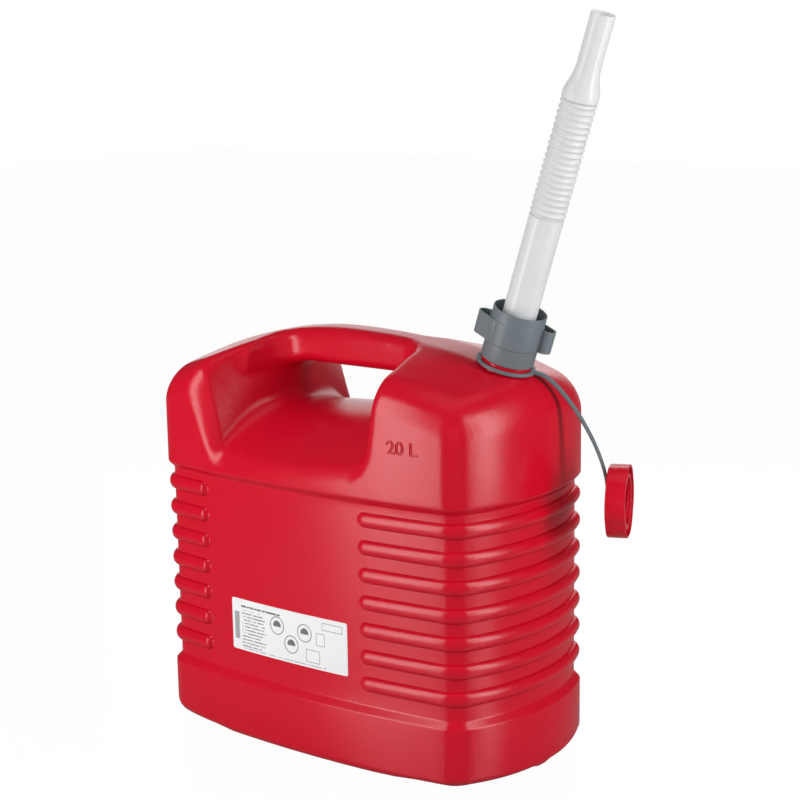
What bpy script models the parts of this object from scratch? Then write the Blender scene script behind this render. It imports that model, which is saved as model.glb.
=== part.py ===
"""A plastic jerrycan with a flexible pouring spout and a closure cap on a strap.

Lengths are in metres. +Z is up and +X points to the neck end. The front of the can faces -Y.
The origin is the middle of the underside.
"""

import math

import bmesh
import bpy
from mathutils import Matrix, Vector

# The can's plan: a rectangle whose sides bow outwards a little, with round corners.
CAN_LENGTH = 0.387
CAN_WIDTH = 0.218
CORNER_RADIUS = 0.0246
END_BOW_RADIUS = 0.194
SIDE_BOW_RADIUS = 1.1
CAN_WALL = 0.0025

# The can's levels: a base band, a recessed and ribbed middle, and the upper shell.
BASE_TOP = 0.0554
SHELL_BOTTOM = 0.2484
RECESS_DEPTH = 0.0055
BASE_FILLET = 0.008
FOOT_RISE = 0.002
FOOT_HALF_LENGTH = 0.105
FOOT_HALF_WIDTH = 0.008
FOOT_RUN = 0.008

# The beads that stiffen the recess: half round, round both ends, open at the flat panels.
BEAD_COUNT = 7
BEAD_PITCH = 0.02466
BEAD_TOP_LEVEL = 0.2291
BEAD_WIDTH = 0.0135
BEAD_HEIGHT = 0.005
BEAD_START_AT_NECK = 0.068
BEAD_START_AT_HANDLE = 0.108
BEAD_TIP = 0.008

# The roof: a long arch, a flat slope under the neck, and sides that fall away from a ridge.
ROOF_TOP = 0.3757
ROOF_PEAK_OFFSET = 0.017
ROOF_RADIUS_AT_HANDLE = 0.361
ROOF_RADIUS_AT_NECK = 0.865
RIDGE_HALF_WIDTH = 0.018
ROOF_FALL_AT_HANDLE = math.radians(9.3)
ROOF_FALL_AT_NECK = math.radians(14.4)
ROOF_BLEND = 0.006
SHOULDER_RADIUS = 0.0255

# The neck stands square on the sloping part of the roof, a set distance from the can's end.
NECK_FROM_END = 0.0412
NECK_LEVEL = 0.3557
NECK_TILT = math.radians(18.3)
NECK_ROOT_RADIUS = 0.0216
NECK_ROOT_HEIGHT = 0.0058
NECK_RADIUS = 0.019
NECK_BORE_RADIUS = 0.0164
NECK_HEIGHT = 0.03
NECK_EDGE = 0.0008

# The hand hole: its walls are given at the middle of the can and at the faces.
HOLE_WALL_AT_HANDLE = 0.08
HOLE_WALL_AT_NECK = 0.066
HOLE_FLARE_AT_HANDLE = 0.035
HOLE_FLARE_AT_NECK = 0.022
HOLE_FLARE_AT_HANDLE_POWER_SHARE = 1.5
HOLE_FLARE_AT_NECK_POWER_SHARE = 0.6
HOLE_LEAN_AT_HANDLE = math.radians(20.6)
HOLE_LEAN_AT_NECK = math.radians(9)
HOLE_EDGE_REACH = 0.017
HOLE_EDGE_FOOT = 0.268
HOLE_EDGE_LEAN = math.radians(14.5)
HOLE_FLOOR = 0.3075
HOLE_FLOOR_SLOPE = math.radians(3.5)
HOLE_FLOOR_RADIUS = 0.135
HOLE_FILLET = 0.015
HANDLE_UNDERSIDE = 0.341
HANDLE_HALF_WIDTH = 0.019
HANDLE_EDGE = 0.011

# Screw threads of the neck, the spout collar and the closure cap.
THREAD_PITCH = 0.005
THREAD_DEPTH = 0.0013
THREAD_ROOT = 0.0022
THREAD_CREST = 0.001
THREAD_START = 0.013
THREAD_RUN = 0.008
THREAD_GAP = 0.0005
THREAD_FADE_SHARE = 0.33

# Gaps between pieces that touch, how far cutters run on, and how deep joined shapes reach.
SEAT_GAP = 0.0003
OVERRUN = 0.006
WELD_DEPTH = 0.0005

# The spout's seal, its tube with a flange, the bellows and the nozzle, up the neck's axis.
SEAL_THICKNESS = 0.002
SEAL_RADIUS = 0.0186
SEAL_BORE_RADIUS = 0.014
FLANGE_RADIUS = 0.0186
FLANGE_THICKNESS = 0.0025
TUBE_RADIUS = 0.0148
TUBE_WALL = 0.0014
TUBE_LENGTH = 0.104
BELLOWS_RIBS = 19
BELLOWS_PITCH = 0.0052
BELLOWS_CREST_RADIUS = 0.0155
BELLOWS_ROOT_RADIUS = 0.0145
CONE_LENGTH = 0.023
NOZZLE_RADIUS = 0.0102
NOZZLE_LENGTH = 0.049

# The collar that screws the spout to the neck: a skirt, a web and an open cup with two ears.
COLLAR_BOTTOM = 0.0065
COLLAR_SKIRT_RADIUS = 0.0233
COLLAR_CUP_RADIUS = 0.0239
COLLAR_STEP = 0.0225
COLLAR_TOP = 0.052
COLLAR_WEB = 0.0025
COLLAR_CUP_WALL = 0.0018
EAR_HEIGHT = 0.0196
EAR_REACH = 0.0284
EAR_END_RADIUS = 0.007
EAR_THICKNESS = 0.0017
EAR_HEADING = math.radians(-104)

# The strap: a ring round the neck's root, a flat leash and an eye that holds the cap's stud.
RING_INNER_RADIUS = 0.0224
RING_OUTER_RADIUS = 0.026
RING_THICKNESS = 0.0026
RING_SEAT = 0.0006
STRAP_HEADING = math.radians(25)
STRAP_WIDTH = 0.008
STRAP_THICKNESS = 0.002
STRAP_TAB = 0.005
STRAP_HINGE = 0.0015
STRAP_HINGE_THICKNESS = 0.0004
STRAP_HINGE_GAP = 0.0004
LEASH_RISE = 0.019
LEASH_DROP = 0.0355
EYE_RADIUS = 0.008
EYE_THICKNESS = 0.0026
EYE_LIP = 0.0012

# The closure cap, which hangs by its stud with its open side outwards.
CAP_REACH = 0.09
CAP_LEVEL = 0.2405
CAP_RADIUS = 0.032
CAP_DEPTH = 0.0175
CAP_LOBES = 6
CAP_LOBE_DEPTH = 0.0009
CAP_WALL = 0.0018
CAP_PLATE = 0.002
CAP_EDGE = 0.0012
CAP_RING_WALL = 0.0036
CAP_RING_SETBACK = 0.001
CAP_THREAD_START = 0.0068
CAP_THREAD_RUN = 0.007
CAP_SEAL_THICKNESS = 0.0016
STUD_RADIUS = 0.004
STUD_HEAD_RADIUS = 0.0056

# The label: a thin rounded film on the flat panel of the front.
LABEL_LEFT = -0.0845
LABEL_RIGHT = 0.0548
LABEL_BOTTOM = 0.084
LABEL_TOP = 0.1326
LABEL_CORNER = 0.004
LABEL_THICKNESS = 0.0004

# Flat faces round a full turn, and along the label and the leash.
FINE_STEPS = 36
ROUND_STEPS = 32
TUBE_STEPS = 28
SMALL_STEPS = 24
EDGE_STEPS = 8
CORNER_ARC_STEPS = 4
HANDLE_EDGE_STEPS = 3
LABEL_STEPS = 10
LEASH_STEPS = 14
CAP_STEPS_PER_LOBE = 7

RED = (0.58, 0.012, 0.028, 1)
GREY = (0.15, 0.18, 0.2, 1)
MILKY = (0.83, 0.85, 0.86, 1)
DARK_GREY = (0.04, 0.04, 0.045, 1)
PAPER = (0.85, 0.85, 0.85, 1)
MILKY_GLOW_SHARE = 0.2


def clear_scene():
    for item in list(bpy.data.objects):
        bpy.data.objects.remove(item, do_unlink=True)


def new_collection(name):
    collection = bpy.data.collections.new(name)
    bpy.context.scene.collection.children.link(collection)
    return collection


def plastic(name, colour, roughness, transmission=0):
    material = bpy.data.materials.new(name)
    material.use_nodes = True
    shader = material.node_tree.nodes["Principled BSDF"]
    shader.inputs["Base Color"].default_value = colour
    shader.inputs["Roughness"].default_value = roughness
    shader.inputs["Metallic"].default_value = 0
    shader.inputs["Transmission Weight"].default_value = transmission
    return material


clear_scene()
PARTS = new_collection("jerrycan")
CUTTERS = new_collection("cutters")
RED_PLASTIC = plastic("red polyethylene", RED, 0.32)
GREY_PLASTIC = plastic("grey polyethylene", GREY, 0.4)
MILKY_PLASTIC = plastic("milky polyethylene", MILKY, 0.3, MILKY_GLOW_SHARE)
SEAL_RUBBER = plastic("seal rubber", DARK_GREY, 0.6)
LABEL_FILM = plastic("label film", PAPER, 0.45)


def add_object(name, mesh, material=None):
    """Link a mesh as a part, or as a cutter where it has no material."""
    item = bpy.data.objects.new(name, mesh)
    if material:
        mesh.materials.append(material)
        PARTS.objects.link(item)
    else:
        CUTTERS.objects.link(item)
        item.hide_render = True
        item.display_type = "WIRE"
    return item


def loft(name, rings, material=None, strip_ends=False):
    """Join rings of points into a skin whose ends are closed with a face or a strip each."""
    form = bmesh.new()
    rows = [[form.verts.new(point) for point in ring] for ring in rings]
    count = len(rows[0])
    for low, high in zip(rows, rows[1:]):
        for i in range(count):
            j = (i + 1) % count
            form.faces.new((low[i], low[j], high[j], high[i]))
    for row in (rows[0], rows[-1]):
        if strip_ends:
            close_with_strip(form, row)
        else:
            face = form.faces.new(row)
            bmesh.ops.triangulate(form, faces=[face])
    bmesh.ops.recalc_face_normals(form, faces=form.faces)
    mesh = bpy.data.meshes.new(name)
    form.to_mesh(mesh)
    form.free()
    return add_object(name, mesh, material)


def close_with_strip(form, row):
    """Span a ring that is symmetric about y = 0 with faces from side to side."""
    count = len(row)
    for i in range(1, count // 2 - 1):
        form.faces.new((row[i], row[i + 1], row[count - i - 1], row[count - i]))
    form.faces.new((row[0], row[1], row[count - 1]))
    half = count // 2
    form.faces.new((row[half - 1], row[half], row[half + 1]))


def turned(name, profile, steps, material=None):
    """Turn a closed (radius, height) profile, outer side first and downwards, round Z."""
    mesh = bpy.data.meshes.new(name)
    points = [(radius, 0, height) for radius, height in profile]
    on_axis = profile[0][0] == 0 and profile[-1][0] == 0
    last = len(points) - 1 if on_axis else len(points)
    edges = [(i, (i + 1) % len(points)) for i in range(last)]
    mesh.from_pydata(points, edges, [])
    item = add_object(name, mesh, material)
    screw = item.modifiers.new("turn", "SCREW")
    screw.steps = steps
    screw.render_steps = steps
    screw.use_merge_vertices = True
    screw.merge_threshold = 0.00001
    screw.use_smooth_shade = True
    return item


def outline_prism(name, outline, bottom, top, material=None):
    """Extrude a flat outline of (x, y) points between two heights."""
    rings = [[(x, y, level) for x, y in outline] for level in (bottom, top)]
    return loft(name, rings, material)


def arc(centre, radius, start, end, steps):
    """Points on an arc in a plane, from one angle to the other."""
    turn = end - start
    return [
        (
            centre[0] + radius * math.cos(start + turn * i / steps),
            centre[1] + radius * math.sin(start + turn * i / steps),
        )
        for i in range(steps + 1)
    ]


def boolean(item, operation, other):
    step = item.modifiers.new(operation.lower() + " " + other.name, "BOOLEAN")
    step.operation = operation
    step.object = other
    step.solver = "EXACT"


def smooth(item, angle=math.radians(35)):
    item.data.shade_smooth()
    item.data.set_sharp_from_angle(angle=angle)


def thread_ridge(name, root, crest, start, run):
    """A screw thread's ridge from its root radius to its crest, which fades out at both ends."""
    turns = run / THREAD_PITCH
    steps = int(SMALL_STEPS * turns)
    buried = math.copysign(WELD_DEPTH / 2, crest - root)
    first_angle = math.tau / SMALL_STEPS / 2
    rings = []
    for i in range(steps + 1):
        angle = first_angle + math.tau * turns * i / steps
        fade = min(1, math.sin(math.pi * i / steps) / THREAD_FADE_SHARE)
        tip = root + buried + (crest - root - buried) * fade
        middle = start + run * i / steps
        section = (
            (root, middle - THREAD_ROOT / 2),
            (tip, middle - THREAD_CREST / 2),
            (tip, middle + THREAD_CREST / 2),
            (root, middle + THREAD_ROOT / 2),
        )
        rings.append([(r * math.cos(angle), r * math.sin(angle), z) for r, z in section])
    return loft(name, rings)


def circle_meeting(first, first_radius, second, second_radius):
    """The upper right point at given distances from two centres."""
    run = second - first
    along = (first_radius**2 - second_radius**2 + run.length_squared) / (2 * run.length)
    across = math.sqrt(max(first_radius**2 - along**2, 0))
    direction = run.normalized()
    side = Vector((-direction.y, direction.x))
    points = (first + direction * along + side * across, first + direction * along - side * across)
    return max(points, key=lambda point: point.x + point.y)


# Points of the plan: more of them on the skin and fewer round the hollow.
END_ARC_SHARES = (0, 0.07, 0.17, 0.5)
END_ARC_HOLLOW_SHARES = (0, 0.1, 0.5)
CORNER_STEPS = 4
CORNER_HOLLOW_STEPS = 3
BEAD_TIP_SHARES = (0, 0.3, 1)
BEAD_TIP_HOLLOW_SHARES = (0, 1)


def side_stations(bead_start, hollow):
    """Places along half a long side, from the bead's full height inwards to the middle."""
    shares = BEAD_TIP_HOLLOW_SHARES if hollow else BEAD_TIP_SHARES
    tip = [bead_start + BEAD_TIP * share for share in reversed(shares)]
    return tip if hollow else tip + [bead_start / 2]


def quarter_outline(inset, bead_start, hollow):
    """A quarter of the can's plan, moved inwards by inset, from +X round to +Y."""
    half_length = CAN_LENGTH / 2 - inset
    half_width = CAN_WIDTH / 2 - inset
    corner = max(CORNER_RADIUS - inset, WELD_DEPTH)
    end_radius = END_BOW_RADIUS - inset
    side_radius = SIDE_BOW_RADIUS - inset
    end_centre = Vector((half_length - end_radius, 0))
    side_centre = Vector((0, half_width - side_radius))
    centre = circle_meeting(end_centre, end_radius - corner, side_centre, side_radius - corner)
    end_angle = math.atan2(centre.y - end_centre.y, centre.x - end_centre.x)
    side_angle = math.atan2(centre.y - side_centre.y, centre.x - side_centre.x)
    points = [
        (
            end_centre.x + end_radius * math.cos(end_angle * share),
            end_radius * math.sin(end_angle * share),
        )
        for share in (END_ARC_HOLLOW_SHARES if hollow else END_ARC_SHARES)
    ]
    steps = CORNER_HOLLOW_STEPS if hollow else CORNER_STEPS
    points += arc(centre, corner, end_angle, side_angle, steps)
    drawn_in = min(1, half_length / (CAN_LENGTH / 2 - SHOULDER_RADIUS))
    stations = [station * drawn_in for station in side_stations(bead_start, hollow)]
    middle = (points[-1][0] + stations[0]) / 2
    for x in [middle] + stations:
        points.append((x, side_centre.y + math.sqrt(side_radius**2 - x**2)))
    return points


def can_outline(inset, hollow=False):
    """The whole plan, counterclockwise from +X, symmetric about y = 0."""
    neck_end = quarter_outline(inset, BEAD_START_AT_NECK, hollow)
    handle_end = quarter_outline(inset, BEAD_START_AT_HANDLE, hollow)
    middle = [(0, CAN_WIDTH / 2 - inset)]
    half = neck_end + middle + [(-x, y) for x, y in reversed(handle_end)]
    return half + [(x, -y) for x, y in reversed(half[1:-1])]


def smaller(first, second, blend):
    """The smaller of two heights, rounded over where they cross."""
    mix = min(max((second - first) / blend / 2 + 0.5, 0), 1)
    return second * (1 - mix) + first * mix - blend * mix * (1 - mix)


def roof_height(x, y):
    run = x + ROOF_PEAK_OFFSET
    radius = ROOF_RADIUS_AT_HANDLE if run < 0 else ROOF_RADIUS_AT_NECK
    arch = ROOF_TOP - run**2 / (2 * radius)
    slope = NECK_LEVEL - math.tan(NECK_TILT) * (x - NECK_OFFSET)
    share = min(max(x / CAN_LENGTH + 0.5, 0), 1)
    fall = ROOF_FALL_AT_HANDLE + (ROOF_FALL_AT_NECK - ROOF_FALL_AT_HANDLE) * share
    beside = max(abs(y) - RIDGE_HALF_WIDTH, 0)
    return smaller(arch, slope, ROOF_BLEND) - math.tan(fall) * beside


def ramp(value, start, run):
    return min(max((value - start) / run, 0), 1)


def foot_lift(x, y):
    """The underside's four corners are raised, so that the can rests on its middle."""
    beyond_length = ramp(abs(x), FOOT_HALF_LENGTH - FOOT_RUN / 2, FOOT_RUN)
    beyond_width = ramp(abs(y), FOOT_HALF_WIDTH - FOOT_RUN / 2, FOOT_RUN)
    return FOOT_RISE * beyond_length * beyond_width


def bead_reach(x):
    """How far a bead stands out at this place along the can, from 0 to 1."""
    start = BEAD_START_AT_NECK if x > 0 else BEAD_START_AT_HANDLE
    run = ramp(abs(x), start, BEAD_TIP)
    return math.sqrt(1 - (1 - run) ** 2)


def bead_row(level, share, wall):
    """One ring of the recess, which stands out by a share of the beads' height."""
    floor = can_outline(RECESS_DEPTH + wall, wall > 0)
    crest = can_outline(RECESS_DEPTH + wall - BEAD_HEIGHT, wall > 0)
    ring = []
    for (x, y), (crest_x, crest_y) in zip(floor, crest):
        mix = share * bead_reach(x)
        ring.append((x + (crest_x - x) * mix, y + (crest_y - y) * mix, level))
    return ring


# Half a bead's section: places across half its width, and the height there.
BEAD_SECTION_SHARES = ((1, 0), (0.4, 0.92))
BEAD_CAVITY_SHARES = ((0.9, 0), (0, 0.92))
BASE_FILLET_SHARES = ((1, 0), (0.38, 0.14), (0.1, 0.5), (0, 1))
BASE_CAVITY_SHARES = ((1, 0), (0, 1))
ROOF_RING_SHARES = (0.3, 0.65, 1)
SHOULDER_ANGLES = [math.radians(angle) for angle in (0, 24, 48, 70, 90)]
CAVITY_SHOULDER_ANGLES = [math.radians(angle) for angle in (0, 45, 90)]


def can_rings(wall):
    """The can's rings from the underside to the roof's ridge, inside its skin by wall."""
    hollow = wall > 0
    rings = []
    for across, up in BASE_CAVITY_SHARES if hollow else BASE_FILLET_SHARES:
        level = BASE_FILLET * up
        ring = []
        for x, y in can_outline(wall + BASE_FILLET * across, hollow):
            ring.append((x, y, wall * (1 - up) + level + foot_lift(x, y) * (1 - up)))
        rings.append(ring)
    rings.append([(x, y, BASE_TOP) for x, y in can_outline(wall, hollow)])
    rings.append(bead_row(BASE_TOP + RECESS_DEPTH, 0, wall))
    half_section = BEAD_CAVITY_SHARES if hollow else BEAD_SECTION_SHARES
    section = [(-across, up) for across, up in half_section]
    section += [(across, up) for across, up in reversed(half_section) if across]
    for number in reversed(range(BEAD_COUNT)):
        middle = BEAD_TOP_LEVEL - BEAD_PITCH * number
        for across, up in section:
            rings.append(bead_row(middle + BEAD_WIDTH / 2 * across, up, wall))
    rings.append(bead_row(SHELL_BOTTOM - RECESS_DEPTH, 0, wall))
    rings.append([(x, y, SHELL_BOTTOM) for x, y in can_outline(wall, hollow)])
    radius = SHOULDER_RADIUS - wall
    for angle in CAVITY_SHOULDER_ANGLES if hollow else SHOULDER_ANGLES:
        drop = wall + radius * (1 - math.sin(angle))
        outline = can_outline(wall + radius * (1 - math.cos(angle)), hollow)
        rings.append([(x, y, roof_height(x, y) - drop) for x, y in outline])
    run = CAN_WIDTH / 2 - RIDGE_HALF_WIDTH - SHOULDER_RADIUS
    for share in ROOF_RING_SHARES:
        outline = can_outline(SHOULDER_RADIUS + run * share, hollow)
        rings.append([(x, y, roof_height(x, y) - wall) for x, y in outline])
    return rings


FLOOR_SHARES = (0, 0.2, 0.4, 0.6, 0.78, 0.9, 1)
HOLE_FILLET_SHARES = (0, 0.13, 0.5, 1)
HANDLE_FILLET_SHARES = (-0.1, 0.13, 0.5, 1)


def hole_floor(x, y):
    return HOLE_FLOOR + math.tan(HOLE_FLOOR_SLOPE) * x - y**2 / (2 * HOLE_FLOOR_RADIUS)


def hole_wall(y, z, at_neck):
    """Distance of the hand hole's end wall from the middle of the can."""
    half_width = CAN_WIDTH / 2
    share = min(abs(y) / half_width, 1)
    rise = z - HOLE_FLOOR
    if at_neck:
        flare = HOLE_FLARE_AT_NECK * share**HOLE_FLARE_AT_NECK_POWER_SHARE
        return HOLE_WALL_AT_NECK + flare + math.tan(HOLE_LEAN_AT_NECK) * rise * share
    flare = HOLE_FLARE_AT_HANDLE * share**HOLE_FLARE_AT_HANDLE_POWER_SHARE
    edge = math.tan(HOLE_EDGE_LEAN) * max(z - HOLE_EDGE_FOOT, 0)
    edge *= ramp(abs(y), half_width - HOLE_EDGE_REACH, HOLE_EDGE_REACH)
    return HOLE_WALL_AT_HANDLE + flare + math.tan(HOLE_LEAN_AT_HANDLE) * rise * share + edge


def scoop_section(fillet, grow, side):
    """The space across the can above the hole's floor, in the Y-Z plane."""
    base = side * (HOLE_WALL_AT_NECK if side > 0 else HOLE_WALL_AT_HANDLE)
    outer = CAN_WIDTH / 2 + OVERRUN
    top = ROOF_TOP + OVERRUN
    places = [-outer * share for share in reversed(FLOOR_SHARES)]
    places += [outer * share for share in FLOOR_SHARES if share]
    floor = [(y, hole_floor(base, y) + fillet - grow) for y in places]
    roof = [(y, top) for y in reversed(places)]
    middle = (floor[-1][1] + top) / 2
    return [(-outer, middle)] + floor + [(outer, middle)] + roof


def handle_section(fillet, grow, side):
    """The handle's bar with a round underside, which widens where it meets the can."""
    half_width = HANDLE_HALF_WIDTH + fillet - grow
    edge = HANDLE_EDGE - grow
    underside = HANDLE_UNDERSIDE - fillet + grow
    centre = (half_width - edge, underside + edge)
    right = arc(centre, edge, -math.pi / 2, 0, HANDLE_EDGE_STEPS)
    right.append((half_width, ROOF_TOP + OVERRUN * 2))
    return right + [(-y, z) for y, z in reversed(right)]


def along_hole(name, section, grow, distance_shares, strip_ends=False):
    """Loft a section along the can, rounded into the end walls of the hand hole."""
    radius = HOLE_FILLET + grow
    rings = []
    for side in (-1, 1):
        run = []
        for share in distance_shares:
            inward = radius * share
            fillet = radius - math.sqrt(radius**2 - (radius - max(inward, 0)) ** 2)
            ring = []
            for y, z in section(fillet, grow, side):
                ring.append((side * (hole_wall(y, z, side > 0) + grow - inward), y, z))
            run.append(ring)
        rings += run if side < 0 else reversed(run)
    return loft(name, rings, strip_ends=strip_ends)


def hand_hole(name, grow):
    """The cutter of the hand hole and its scoops, which leaves the handle's bar standing."""
    hole = along_hole(name, scoop_section, grow, HOLE_FILLET_SHARES, strip_ends=True)
    bar = along_hole(name + " bar", handle_section, grow, HANDLE_FILLET_SHARES)
    boolean(hole, "DIFFERENCE", bar)
    return hole


NECK_OFFSET = CAN_LENGTH / 2 - NECK_FROM_END

# The neck's base, whose Z axis is the axis of the neck, the collar and the strap's ring.
NECK_PLACE = Matrix.Translation((NECK_OFFSET, 0, NECK_LEVEL)) @ Matrix.Rotation(NECK_TILT, 4, "Y")
STRAP_PLACE = NECK_PLACE @ Matrix.Rotation(STRAP_HEADING, 4, "Z")


def make_can():
    """The blow-moulded body: a hollow shell with a hollow handle and a threaded neck."""
    can = loft("can_body", can_rings(0), RED_PLASTIC, strip_ends=True)
    cavity = loft("can cavity", can_rings(CAN_WALL), strip_ends=True)
    boolean(cavity, "DIFFERENCE", hand_hole("hand hole of the cavity", CAN_WALL))
    boolean(can, "DIFFERENCE", hand_hole("hand hole", 0))
    neck = turned(
        "neck blank",
        [
            (0, NECK_HEIGHT),
            (NECK_RADIUS - NECK_EDGE, NECK_HEIGHT),
            (NECK_RADIUS, NECK_HEIGHT - NECK_EDGE),
            (NECK_RADIUS, NECK_ROOT_HEIGHT + NECK_EDGE),
            (NECK_ROOT_RADIUS, NECK_ROOT_HEIGHT),
            (NECK_ROOT_RADIUS, -OVERRUN),
            (0, -OVERRUN),
        ],
        ROUND_STEPS,
    )
    root = NECK_RADIUS - WELD_DEPTH
    thread = thread_ridge("neck thread", root, NECK_RADIUS + THREAD_DEPTH, THREAD_START, THREAD_RUN)
    bore = turned(
        "neck bore",
        [
            (0, NECK_HEIGHT + OVERRUN),
            (NECK_BORE_RADIUS, NECK_HEIGHT + OVERRUN),
            (NECK_BORE_RADIUS, -OVERRUN * 2),
            (0, -OVERRUN * 2),
        ],
        ROUND_STEPS,
    )
    for piece in (neck, thread, bore):
        piece.matrix_world = NECK_PLACE
    boolean(can, "UNION", neck)
    boolean(can, "UNION", thread)
    boolean(can, "DIFFERENCE", cavity)
    boolean(can, "DIFFERENCE", bore)
    smooth(can)
    return can


def make_label():
    """A thin film that follows the front panel's bow."""
    gap = RECESS_DEPTH - SEAT_GAP
    radius = SIDE_BOW_RADIUS - gap
    centre = CAN_WIDTH / 2 - SIDE_BOW_RADIUS
    rings = []
    for i in range(LABEL_STEPS + 1):
        run = LABEL_RIGHT - LABEL_LEFT + 2 * OVERRUN
        x = LABEL_LEFT - OVERRUN + run * i / LABEL_STEPS
        near = centre + math.sqrt(radius**2 - x**2)
        far = centre + math.sqrt((radius + LABEL_THICKNESS) ** 2 - x**2)
        low = LABEL_BOTTOM - OVERRUN
        high = LABEL_TOP + OVERRUN
        rings.append([(x, -near, low), (x, -far, low), (x, -far, high), (x, -near, high)])
    label = loft("label", rings, LABEL_FILM)
    outline = []
    corners = (
        (LABEL_RIGHT - LABEL_CORNER, LABEL_TOP - LABEL_CORNER, 0),
        (LABEL_LEFT + LABEL_CORNER, LABEL_TOP - LABEL_CORNER, 1),
        (LABEL_LEFT + LABEL_CORNER, LABEL_BOTTOM + LABEL_CORNER, 2),
        (LABEL_RIGHT - LABEL_CORNER, LABEL_BOTTOM + LABEL_CORNER, 3),
    )
    for x, z, quarter in corners:
        start = math.pi / 2 * quarter
        outline += arc((x, z), LABEL_CORNER, start, start + math.pi / 2, CORNER_ARC_STEPS)
    rings = [[(x, y, z) for x, z in outline] for y in (-CAN_WIDTH / 2 - OVERRUN, -CAN_WIDTH / 4)]
    boolean(label, "INTERSECT", loft("label outline", rings))
    return label


SEAL_LEVEL = NECK_HEIGHT + SEAT_GAP
FLANGE_LEVEL = SEAL_LEVEL + SEAL_THICKNESS + SEAT_GAP
WEB_LEVEL = FLANGE_LEVEL + FLANGE_THICKNESS + SEAT_GAP
BELLOWS_LEVEL = FLANGE_LEVEL + TUBE_LENGTH + SEAT_GAP
BELLOWS_LENGTH = BELLOWS_RIBS * BELLOWS_PITCH
NOZZLE_LEVEL = BELLOWS_LEVEL + BELLOWS_LENGTH + SEAT_GAP
SKIRT_BORE_RADIUS = NECK_RADIUS + THREAD_DEPTH + THREAD_GAP


SPOUT_BORE_RADIUS = TUBE_RADIUS - TUBE_WALL
BELLOWS_BORE_RADIUS = BELLOWS_ROOT_RADIUS - TUBE_WALL

# The middle of the bellows, round which the nozzle bends.
BEND_LEVEL = BELLOWS_LEVEL + BELLOWS_LENGTH / 2
BEND_PLACE = NECK_PLACE @ Matrix.Translation((0, 0, BEND_LEVEL))


def make_spout_seal():
    """The flat sealing ring between the neck's rim and the spout's flange."""
    top = SEAL_LEVEL + SEAL_THICKNESS
    seal = turned(
        "spout_seal",
        [
            (SEAL_RADIUS, top),
            (SEAL_RADIUS, SEAL_LEVEL),
            (SEAL_BORE_RADIUS, SEAL_LEVEL),
            (SEAL_BORE_RADIUS, top),
        ],
        ROUND_STEPS,
        SEAL_RUBBER,
    )
    seal.matrix_world = NECK_PLACE


def make_spout_tube():
    """The spout's smooth tube, with the flange that the collar clamps."""
    top = FLANGE_LEVEL + TUBE_LENGTH
    shoulder = FLANGE_LEVEL + FLANGE_THICKNESS
    tube = turned(
        "spout_tube",
        [
            (TUBE_RADIUS, top),
            (TUBE_RADIUS, shoulder),
            (FLANGE_RADIUS, shoulder),
            (FLANGE_RADIUS, FLANGE_LEVEL),
            (SPOUT_BORE_RADIUS, FLANGE_LEVEL),
            (SPOUT_BORE_RADIUS, top),
        ],
        TUBE_STEPS,
        MILKY_PLASTIC,
    )
    tube.matrix_world = NECK_PLACE


def make_spout_bellows():
    """The spout's ribbed stretch, which bends, round a plain bore."""
    top = BELLOWS_LEVEL + BELLOWS_LENGTH
    profile = [(BELLOWS_ROOT_RADIUS, top)]
    for rib in reversed(range(BELLOWS_RIBS)):
        level = BELLOWS_LEVEL + rib * BELLOWS_PITCH
        profile.append((BELLOWS_CREST_RADIUS, level + BELLOWS_PITCH / 2))
        profile.append((BELLOWS_ROOT_RADIUS, level))
    profile += [(BELLOWS_BORE_RADIUS, BELLOWS_LEVEL), (BELLOWS_BORE_RADIUS, top)]
    bellows = turned("spout_bellows", profile, SMALL_STEPS, MILKY_PLASTIC)
    bellows.matrix_world = NECK_PLACE


def make_spout_nozzle():
    """The spout's cone and narrow end, with its origin on the axis of its bend."""
    foot = NOZZLE_LEVEL - BEND_LEVEL
    shoulder = foot + BELLOWS_PITCH
    cone_top = foot + CONE_LENGTH
    tip = cone_top + NOZZLE_LENGTH
    nozzle = turned(
        "spout_nozzle",
        [
            (NOZZLE_RADIUS, tip),
            (NOZZLE_RADIUS, cone_top),
            (BELLOWS_CREST_RADIUS, shoulder),
            (BELLOWS_ROOT_RADIUS, foot),
            (BELLOWS_BORE_RADIUS, foot),
            (BELLOWS_CREST_RADIUS - TUBE_WALL, shoulder),
            (NOZZLE_RADIUS - TUBE_WALL, cone_top),
            (NOZZLE_RADIUS - TUBE_WALL, tip),
        ],
        SMALL_STEPS,
        MILKY_PLASTIC,
    )
    nozzle.matrix_world = BEND_PLACE


def ear_outline():
    """One ear of the collar from above: a band that leaves the cup as a tangent and turns back."""
    outer = COLLAR_CUP_RADIUS
    centre = (EAR_REACH - EAR_END_RADIUS, outer - EAR_END_RADIUS)
    buried = outer - COLLAR_CUP_WALL / 2
    back = outer - 2 * EAR_END_RADIUS
    inner_back = back + EAR_THICKNESS
    inner_front = outer - EAR_THICKNESS
    quarter = math.pi / 2
    outline = [(0, buried), (EAR_THICKNESS, outer)]
    outline += arc(centre, EAR_END_RADIUS, quarter, -quarter, EDGE_STEPS)
    outline.append((math.sqrt(buried**2 - back**2), back))
    outline.append((math.sqrt(buried**2 - inner_back**2), inner_back))
    outline += arc(centre, EAR_END_RADIUS - EAR_THICKNESS, -quarter, quarter, EDGE_STEPS)
    outline.append((math.sqrt(buried**2 - inner_front**2), inner_front))
    return outline


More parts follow.
